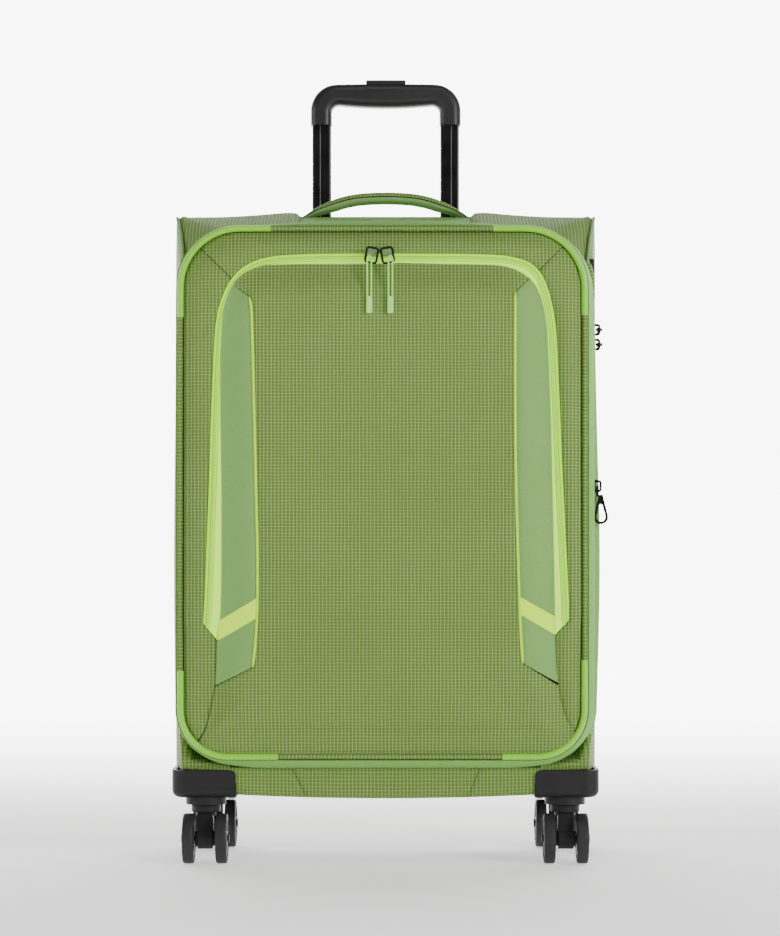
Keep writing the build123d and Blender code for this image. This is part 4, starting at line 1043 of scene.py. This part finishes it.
back = skin(grid(back_x, back_y, back_z), grid(back_x, back_z), 1.4)
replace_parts(add_piece("case_back_cloth", back, "case", GRID), "back_panel")


# Piping along the case's corner seams and round its back edge.
def corner_seam(y, upper):
    """The (x, z) of the case's right upper or lower corner seam at depth y, as its piping follows it."""
    half, low, high, r_low, r_high = case_shape(y, 0)
    if upper:
        turn, reach = math.radians(seam_angle(y)), r_high + 0.9
        return half - r_high + reach * math.cos(turn), high - r_high + reach * math.sin(turn)
    reach = (r_low + 0.4) * 0.7071
    return half - r_low + reach, low + r_low - reach


parts = []
for sx in (-1, 1):
    for upper in (True, False):
        depths = [y for y in np.linspace(MOUTH_Y + 2, BACK_Y - EDGE_R, 40) if upper or not near_housing(y)]
        seam = [corner_seam(y, upper) for y in depths]
        parts.append(tube(xyz(seam, depths) * [sx, 1, 1], 1.7, 10))
edge_path = xyz(rounded_loop(*case_shape(100, 1.6), 400), BACK_Y - 2.0)
start = int(np.argmax(edge_path[:, 2] > HOUSING_TOP + 1))
edge_path = np.concatenate([edge_path[start:], edge_path[:start]])
parts.append(tube(edge_path[edge_path[:, 2] > HOUSING_TOP + 1], 1.9, 10))
add_piece("case_piping", join(parts), "case", BINDING)

# ---------------------------------------------------------------- apron in front of the mouth
APRON = [
    (-54.0, 69.0), (-70.0, 68.6), (-83.0, 68.6), (-88.6, 70.4), (-91.4, 74.4), (-92.0, 80.0),
    (-92.0, 86.0), (-92.0, 91.5), (-91.2, 94.8), (-87.0, 96.6), (-74.0, 98.0), (-54.5, 100.5),
]
apron_line = smooth_path(APRON, 60)
apron_at_y, apron_at_z = apron_line[:, 0], apron_line[:, 1]
half_at = np.where(apron_at_z < HOUSING_TOP - 0.2, np.where(apron_at_z > 82, 156.0, HOUSING_IN), 202.0)
half_at = np.where((apron_at_y > -80) & (apron_at_z > 90), 204.0, half_at)
apron_x = half_at[:, None] * np.linspace(-1, 1, 160)[None]
sag = np.clip(1 - (apron_x / 150) ** 2, 0, 1) * np.clip((94 - apron_at_z) / 24, 0, 1)[:, None]
apron_y = apron_at_y[:, None] - 1.2 * sag
apron_z = apron_at_z[:, None] - 3.6 * sag
DARTS = [[(-92.1, 95.0), (-77.2, 64.0)], [(94.1, 96.0), (81.2, 64.0)]]
for dart in DARTS:
    apron_y = apron_y + 1.0 * ridge(distance_to(apron_x, apron_z, dart), 1.5) * (apron_y < -84)
apron_uv = grid(apron_x, lengths(apron_line)[:, None])
apron = skin(grid(apron_x, apron_y, apron_z), apron_uv, 1.4, inward=(0, -60, 84))


def apron_edge(z):
    """How far forward, and how far out, the case's lower front corner stands at height z."""
    t = ease((142 - z) / 44)
    return -56.0 - 31.5 * t, 207.2 - 5.0 * t


BEND_X, BEND_Z, BEND_R = 155, 154, 52


def corner_reach(angle):
    """How far the lid's lower corner cloth reaches out from its bend's middle, at an angle."""
    reach_out = 53.0
    for _ in range(4):
        spot_z = max(BEND_Z + reach_out * math.sin(angle), 94.0)
        to_side = (apron_edge(spot_z)[1] - BEND_X) / max(math.cos(angle), 1e-6)
        to_foot = 59.8 / max(-math.sin(angle), 1e-6)
        reach_out = min(x for x in (to_side, to_foot) if x > 0)
    return reach_out


def flange(sx):
    """The flat cloth round one lower corner of the mouth, and the side cloth below it."""
    angles = np.radians(np.linspace(4, -90, 40))
    rows = []
    for j in np.linspace(0, 1, 14):
        row = []
        for angle in angles:
            way = np.array([math.cos(angle), math.sin(angle)])
            inner = [BEND_X, BEND_Z] + BEND_R * way
            outer = [BEND_X, BEND_Z] + corner_reach(angle) * way
            spot = inner * (1 - j) + outer * j
            y = -55.4 * (1 - ease(j / 0.6)) + apron_edge(outer[1])[0] * ease(j / 0.6)
            row.append((sx * spot[0], y, spot[1]))
        rows.append(row)
    face = np.array(rows)
    rows = []
    for z in np.linspace(93.8, 143, 24):
        front_y, front_x = apron_edge(z)
        t = np.linspace(0, 1, 10)
        x = sx * (front_x + (207.8 - front_x) * ease(t) ** 0.7)
        rows.append(xyz(np.stack([x, np.full(10, z)], 1), front_y + (-53.0 - front_y) * t))
    side = np.stack(rows)
    return [
        skin(face, face[..., [0, 2]], 1.2, inward=(0, 60, 240)),
        skin(side, side[..., [1, 2]], 1.2, inward=(0, 0, 240)),
    ]


parts = [apron, *flange(-1), *flange(1)]
apron_cloth = add_piece("apron_cloth", join(parts), "case", GRID)
paths = [xyz(resample(dart, 30), -92.4) for dart in DARTS]
for sx in (-1, 1):
    edges = [(z, *apron_edge(z)) for z in np.linspace(96, 138, 30)]
    paths.append([(sx * (out - 0.2), forward - 0.5, z) for z, forward, out in edges])
parts = [stitches(path, 3.4, 2.3, 0.3) for path in paths]
add_piece("apron_stitches", join(parts), "case", THREAD)
zip_half("main_zip_case", "case", -50.4, -55.85, 1.7, 1.5, PLAIN)

# ---------------------------------------------------------------- hinge cloth on the left
HINGE_BEND = [(-206.9, -48.0), (-208.0, -52.0), (-208.3, -56.0), (-207.4, -59.6), (-206.2, -62.4)]
hinge_profile = smooth_path(HINGE_BEND, 14)
heights = np.linspace(128, 606, 120)
hinge_points = grid(hinge_profile[:, 0][None], hinge_profile[:, 1][None], heights[:, None])
hinge_skin = skin(hinge_points, hinge_points[..., [1, 2]], 0.8)
hinge = add_piece("lid_hinge_cloth", hinge_skin, None, PLAIN)
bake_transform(hinge)

# ---------------------------------------------------------------- linings
lining_rows = []
for y in [*np.linspace(MOUTH_Y + 1, 108, 40), 112.0, 115.0, 116.8]:
    inset = 6.6 + 5.0 * max(0.0, (y - 108) / 9) ** 2
    half, low, high, r_low, r_high = case_shape(y, inset)
    lining_rows.append(xyz(rounded_loop(half, low, high, max(r_low, 8), max(r_high, 8), 300), y))
lining_points = np.stack(lining_rows)
x, y, z = lining_points[..., 0], lining_points[..., 1], lining_points[..., 2]
folds = 0.8 * np.sin(y / 13.0 + z / 60.0) * np.sin(z / 45 + 1)
x -= folds * np.sign(x) * 0.6 * (np.abs(x) > 190)
# The lining makes room for the trolley tray and for the lock's back.
z -= 41.5 * ease((100.5 - np.abs(x)) / 2.5) * ease((y - 79.5) / 2.5) * (z > 600)
by_lock = ease((z - 500) / 10) * ease((620 - z) / 10) * ease((y + 52) / 6) * ease((-4 - y) / 8)
x -= 6.0 * by_lock * (x > 150)
far = lengths(np.concatenate([lining_points[0], lining_points[0][:1]]))
lining_uv = grid(far[None], np.arange(len(lining_rows))[:, None] * 4.0)
lining = skin(lining_points, lining_uv, -0.9, wrap=True, inward=(0, 40, 364))
back_x, back_z = np.linspace(-206, 206, 60)[None], np.linspace(78, 650, 80)[:, None]
back_y = 116.9 - 0.5 * np.sin(back_x / 27) * np.sin(back_z / 33)
lining_back = skin(grid(back_x, back_y, back_z), grid(back_x, back_z), 0.9, inward=(0, 400, 364))
add_piece("case_lining", join([lining, lining_back]), "case", LINING)

TUNNEL_HALF = [(101, 116.6), (100.4, 100), (99.6, 91.0), (96, 87.2), (88, 86.2), (40, 86.0)]
tunnel_line = [(-x, y) for x, y in TUNNEL_HALF] + [(0, 85.9)] + TUNNEL_HALF[::-1]
tunnel_profile = smooth_path(tunnel_line, 110)
heights = np.concatenate([np.linspace(80.3, 596, 90), [600, 603, 605.5, 607.2, 608]])[:, None]
shrink = np.concatenate([np.zeros(90), [0.02, 0.1, 0.28, 0.6, 0.98]])[:, None]
tunnel_x = tunnel_profile[None, :, 0]
tunnel_y = tunnel_profile[None, :, 1] * (1 - shrink) + 116.6 * shrink
tunnel_y = tunnel_y + 0.6 * np.sin(heights / 37 + tunnel_x / 55) * (np.abs(tunnel_x) < 90) * (1 - shrink)
tunnel_uv = grid(lengths(tunnel_profile)[None], heights)
tunnel = skin(grid(tunnel_x, tunnel_y, heights), tunnel_uv, 0.9, inward=(0, 160, 340))
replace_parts(add_piece("tunnel_cloth", tunnel, "case", LINING), "trolley_tunnel_lining")

# The lid's lining, as rings that close in on the lid's middle, and a patch over the gap they leave.
LID_LINING_RINGS = [
    # how far in, and the ring's depth
    (0, -81.0), (0.005, -84.5), (0.02, -87.2), (0.05, -88.6), (0.12, -89.4), (0.3, -89.9), (0.55, -89.5),
    (0.8, -89.2), (0.97, -89.0),
]
lid_back_loop = rounded_loop(199.6, 109.4, 630.6, 45, 57, 240)
rings = [
    xyz(lid_back_loop * (1 - share_in) + np.array([0, LID_MIDDLE_Z]) * share_in, y)
    for share_in, y in LID_LINING_RINGS
]
lid_points = np.stack(rings)
lid_uv = np.concatenate([lid_points, lid_points[:, :1]], 1)[..., [0, 2]]
lid_lining = skin(lid_points, lid_uv, 0.9, wrap=True, inward=(0, -200, LID_MIDDLE_Z))
patch_x, patch_z = np.linspace(-10, 10, 8)[None], np.linspace(360, 380, 8)[:, None]
patch_points = grid(patch_x, -89.1, patch_z)
lid_centre = skin(patch_points, patch_points[..., [0, 2]], 0.8, inward=(0, -200, LID_MIDDLE_Z))
lid_piece = add_piece("lid_lining", join([lid_lining, lid_centre]), "lid_front", LINING)
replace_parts(lid_piece, "lid_panel")

# The wall behind the front pocket.
wall_levels = np.linspace(112, 606, 90)
wall_half = np.interp(wall_levels, [112, 140, 240, 530, 575, 596, 606], [150, 182, 190, 178, 164, 145, 118])
wall_points = grid(wall_half[:, None] * np.linspace(-1, 1, 60)[None], -98.9, wall_levels[:, None])
wall = skin(wall_points, wall_points[..., [0, 2]], 0.9)
add_piece("pocket_back_wall", wall, "lid_front", LINING)

# ---------------------------------------------------------------- packing straps
STRAP_HALF = 208.5


def block(low, high, bevel):
    """A box with rounded edges, as (vertices, faces, UV loops)."""
    made = bmesh.new()
    bmesh.ops.create_cube(made, size=1.0)
    size, middle = np.subtract(high, low), np.add(high, low) / 2
    for v in made.verts:
        v.co = [c * s + m for c, s, m in zip(v.co, size, middle)]
    bmesh.ops.bevel(made, geom=made.edges[:], offset=bevel, segments=3, profile=0.5, affect="EDGES")
    made.verts.index_update()
    verts = [tuple(v.co) for v in made.verts]
    faces = [tuple(v.index for v in f.verts) for f in made.faces]
    loops = [(v.co.x + v.co.y, v.co.z + v.co.y) for f in made.faces for v in f.verts]
    made.free()
    return verts, faces, loops


ribbons, buckles = [], []
for strap_z in (250.0, 450.0):
    x = np.linspace(-STRAP_HALF, STRAP_HALF, 140)
    droop = 2.0 * np.cos(x / STRAP_HALF * math.pi / 2)
    y = 85.0 + 0.9 * np.sin(x / 37.0 + strap_z) * np.clip((np.abs(x) - 30) / 60, 0, 1) * 0.5
    y = np.where(np.abs(x) > 112, 85.4 + 5.0 * ease((np.abs(x) - 112) / 95), y)
    v = np.linspace(-12, 12, 9)[:, None]
    ribbon = grid(x[None], y[None], strap_z - droop[None] + v)
    ribbons.append(skin(ribbon, grid(x[None], v), 1.3, inward=(0, 200, strap_z)))
    buckles.append(block((-26, 77.5, strap_z - 19), (4, 84.4, strap_z + 15), 2.4))
    buckles.append(block((5, 78.3, strap_z - 15.5), (26, 83.8, strap_z + 11.5), 2.2))
    buckles.append(block((-14, 76.4, strap_z - 12), (-2, 78.4, strap_z + 8), 0.9))
straps = add_piece("strap_webbing", join(ribbons), "case", WEBBING)
add_piece("strap_buckles", join(buckles), "case", BLACK)
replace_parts(straps, "packing_straps")

# ---------------------------------------------------------------- carry handle
HANDLE_HALF = [(88.5, 656.6), (80.0, 662.6), (70.3, 669.0), (60.0, 674.2), (45.0, 679.4), (26.7, 682.8)]
handle_line = [(-x, z) for x, z in HANDLE_HALF] + [(0.0, 684.0)] + HANDLE_HALF[::-1]
spine = smooth_path([(x, 38.0, z) for x, z in handle_line], 120)
handle_far = lengths(spine)
along_handle = handle_far / handle_far[-1]
to_handle_end = np.minimum(along_handle, 1 - along_handle)
thick = 4.0 + 7.6 * ease(to_handle_end / 0.22)
broad = 15.2 - 1.2 * ease(to_handle_end / 0.15)
tangent = np.gradient(spine, axis=0)
tangent /= np.linalg.norm(tangent, axis=1, keepdims=True)
up = np.cross(tangent, [0, 1, 0])
up = np.where(up[:, 2:] < 0, -up, up)
half_up = up * (thick / 2)[:, None]


def handle_part(angles, name, material):
    """A shell on part of the handle's rounded section. Angle 90 degrees is its top."""
    y = np.sign(np.cos(angles)) * np.abs(np.cos(angles)) ** 0.6
    z = np.sign(np.sin(angles)) * np.abs(np.sin(angles)) ** 0.75
    inward = (spine - half_up)[:, None]
    points = inward + half_up[:, None] * z[None, :, None]
    points = points + np.array([0, 1.0, 0]) * broad[:, None, None] * y[None, :, None]
    uv = grid(handle_far[:, None], lengths(points[60])[None])
    return add_piece(name, skin(points, uv, 1.2, inward=inward), "case", material)


handle_top = handle_part(np.radians(np.linspace(2, 178, 40)), "handle_top_cloth", GRID)
handle_part(np.radians(np.linspace(177, 363, 44)), "handle_under_cloth", BINDING)
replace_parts(handle_top, "carry_handle")
parts = []
for turn in np.radians([2.5, 177.5]):
    y_out = math.copysign(abs(math.cos(turn)) ** 0.6, math.cos(turn)) * (broad + 0.25)
    height = (thick / 2) * (math.sin(turn) ** 0.75 - 1)
    seam = spine + up * height[:, None] + np.array([0, 1.0, 0]) * y_out[:, None]
    parts.append(tube(seam, 0.55, 8))
add_piece("handle_seams", join(parts), "case", THREAD)

# ---------------------------------------------------------------- wheels
SPOKES = 5
CASTER_X, TRAIL = 180, 14
WHEEL_R = 25
TREAD_R = 2.35


def lathe_x(profile, middle, around=80, relief=None):
    """A closed section turned round the X axis at middle. relief(x, r, angle) moves points along X."""
    profile = np.asarray(profile, float)
    angle = np.linspace(0, 2 * math.pi, around, endpoint=False)
    x = np.broadcast_to(profile[None, :, 0], (around, len(profile))).copy()
    r = np.broadcast_to(profile[None, :, 1], x.shape)
    if relief is not None:
        x = relief(x, r, angle[:, None])
    points = np.stack([x, r * np.cos(angle)[:, None], r * np.sin(angle)[:, None]], 2) + middle
    n = len(profile)
    steps = lengths(np.concatenate([profile, profile[:1]]))
    turn = 2 * math.pi * 20 / around
    faces, loops = [], []
    for a in range(around):
        b = (a + 1) % around
        for p in range(n):
            q = (p + 1) % n
            faces.append((a * n + p, b * n + p, b * n + q, a * n + q))
            corners = ((a, p), (a + 1, p), (a + 1, p + 1), (a, p + 1))
            loops += [(round_at * turn, steps[along]) for round_at, along in corners]
    return points.reshape(-1, 3), faces, loops


tread = [(3.4 + TREAD_R * math.cos(t), 22.65 + TREAD_R * math.sin(t)) for t in np.radians([20, 40, 60, 80])]
tyre_half = [(5.8, 19.0), (5.8, 21.0), (5.75, 22.6), *tread, (1.2, WHEEL_R)]
tyre_profile = [(-x, r) for x, r in tyre_half] + [(0, WHEEL_R)] + tyre_half[::-1]
disc = [(2.4, r) for r in (7.4, 9.0, 11.0, 13.0, 15.0, 16.0)]
hub_half = [(5.7, 3.2), (5.7, 6.0), (5.2, 6.6), *disc, (4.6, 16.8), (4.9, 17.4), (4.9, 19.0)]
hub_profile = hub_half + [(-x, r) for x, r in hub_half[::-1]]


def spoke_relief(x, r, angle):
    """Raises the spokes, which widen towards the rim, on both faces of a hub."""
    turn = np.abs((angle * SPOKES / (2 * math.pi) + 0.5) % 1 - 0.5) * 2 * math.pi / SPOKES * r
    spoke = 1 - ease((turn - 1.5) / 1.2)
    on_disc = (r > 7.0) & (r < 16.4)
    return np.where(on_disc, np.sign(x) * (1.4 + 3.0 * spoke), x)


for end, kingpin_y in (("front", -68.0), ("rear", 102.0)):
    for side, sx in (("left", -1), ("right", 1)):
        for place, offset in (("outer", 16.5), ("inner", -16.5)):
            spot = (sx * (CASTER_X + offset), kingpin_y - TRAIL, WHEEL_R)
            wheel = f"{end}_{side}_{place}"
            body = f"wheel_{wheel}"
            tyre_shape = lathe_x(tyre_profile, spot)
            tyre = add_piece(f"tyre_{wheel}", tyre_shape, body, TYRE, sharp=35)
            hub = lathe_x(hub_profile, spot, relief=spoke_relief, around=160)
            add_piece(f"hub_{wheel}", hub, body, HUB, sharp=35)
            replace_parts(tyre, body)

# ---------------------------------------------------------------- cord loops on the pocket's pulls
RING_Z = 603.5
for side, pull_x, ring_x, tilt in (("left", -15.9, -13.6, 10), ("right", 5.0, 2.0, -10)):
    route = [
        (pull_x - 2.0, -129.3, 562.0),
        (pull_x - 2.0, -129.3, 578.0),
        (pull_x - 2.0, -128.6, 590.6),
        (pull_x - 2.0, -126.3, 602.6),
        (pull_x + 2.0, -126.3, 602.6),
        (pull_x + 2.0, -128.6, 590.6),
        (pull_x + 2.0, -129.3, 578.0),
        (pull_x + 2.0, -129.3, 562.0),
    ]
    curve = bpy.data.curves.new(f"pull_loop_{side}", "CURVE")
    curve.dimensions = "3D"
    curve.bevel_depth = 0.0009
    curve.bevel_resolution = 5
    curve.resolution_u = 10
    curve.use_fill_caps = True
    spline = curve.splines.new("NURBS")
    spline.points.add(len(route) - 1)
    for point, place in zip(spline.points, route):
        point.co = (*(np.array(place) * MM), 1.0)
    spline.order_u = 3
    spline.use_endpoint_u = True
    curve.materials.append(PULL)
    loop_piece = bpy.data.objects.new(f"pull_loop_{side}", curve)
    bpy.context.scene.collection.objects.link(loop_piece)
    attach(loop_piece, f"pocket_pull_{side}")
    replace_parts(loop_piece, f"pocket_cord_{side}")
    tip = block((pull_x - 3.0, -130.7, 546.0), (pull_x + 3.0, -127.9, 563.0), 1.3)
    tip_piece = add_piece(f"pull_tip_{side}", tip, f"pocket_pull_{side}", PULL)
    turn = math.radians(tilt)
    ring_line = rounded_loop(5.6, 595.9, 611.2, 2.6, 2.6, 80) - [0, RING_Z]
    across, rise = ring_line[:, 0], ring_line[:, 1]
    ring_path = np.stack(
        [
            ring_x + across * math.cos(turn) + rise * math.sin(turn),
            -123.6 + rise * 0.24,
            RING_Z - across * math.sin(turn) + rise * math.cos(turn),
        ],
        1,
    )
    ring = tube(ring_path, 1.15, 10, closed=True)
    ring_piece = add_piece(f"pull_ring_{side}", ring, f"pocket_pull_{side}", GUNMETAL)
    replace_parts(ring_piece, f"pocket_link_{side}")
    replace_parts(tip_piece, f"pocket_tip_{side}")

# ---------------------------------------------------------------- painted highlight: a bright steel strip along the groove on each trolley tube's front
strips = [block((sx * 69.4 - 0.4, 97.3, 262.0), (sx * 69.4 + 0.4, 97.9, 763.0), 0.08) for sx in (-1, 1)]
add_piece("trolley_groove_highlights", join(strips), "trolley_upper", STEEL)

# ---------------------------------------------------------------- CAD nodes kept, with their finishes
FINISHES = {
    "corner_protectors": RUBBER,
    "trolley_tray": BLACK,
    "trolley_grip": GRIP,
    "trolley_button": GRIP,
    "trolley_outer_tubes": TUBE,
    "trolley_middle_tubes": TUBE,
    "trolley_inner_tubes": TUBE,
    "trolley_release_rods": STEEL,
    "back_skid_rails": BLACK,
    "wire_frame": STEEL,
    "lock_body": BLACK,
    "lock_button": BLACK,
    "lock_dial": STEEL,
    "caster_fixings": STEEL,
    "caster_housing": BLACK,
    "caster_fork": BLACK,
    "expansion_slider": GUNMETAL,
    "expansion_pull": GUNMETAL,
    "main_": GUNMETAL,
    "pocket_slider": BINDING,
}
for name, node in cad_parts.items():
    for start, finish in FINISHES.items():
        if name.startswith(start):
            node.data.materials.clear()
            node.data.materials.append(finish)

# ---------------------------------------------------------------- floor
floor_look = Look("floor")
spot = floor_look.node("ShaderNodeSeparateXYZ", [(0, floor_look.place())])
glow = floor_look.ramp(spot.outputs[1], 0.1, 2.6, 0.55, 6.5)
floor_look.finish((0.8, 0.8, 0.8, 1), roughness=0.9)
floor_look.put(floor_look.shader.inputs["Emission Color"], (1, 1, 1, 1))
floor_look.put(floor_look.shader.inputs["Emission Strength"], glow)
sweep = [(-8.0, 0.0), (5.0, 0.0), (5.6, 0.06), (6.1, 0.25), (6.45, 0.6), (6.62, 1.1), (6.7, 1.9), (6.7, 7.0)]
mesh = bpy.data.meshes.new("sweep")
mesh.from_pydata(
    [(x, y, z) for y, z in sweep for x in (-8, 8)],
    [],
    [(2 * n, 2 * n + 1, 2 * n + 3, 2 * n + 2) for n in range(len(sweep) - 1)],
)
mesh.materials.append(floor_look.material)
mesh.shade_smooth()
floor = bpy.data.objects.new("sweep", mesh)
bpy.context.scene.collection.objects.link(floor)
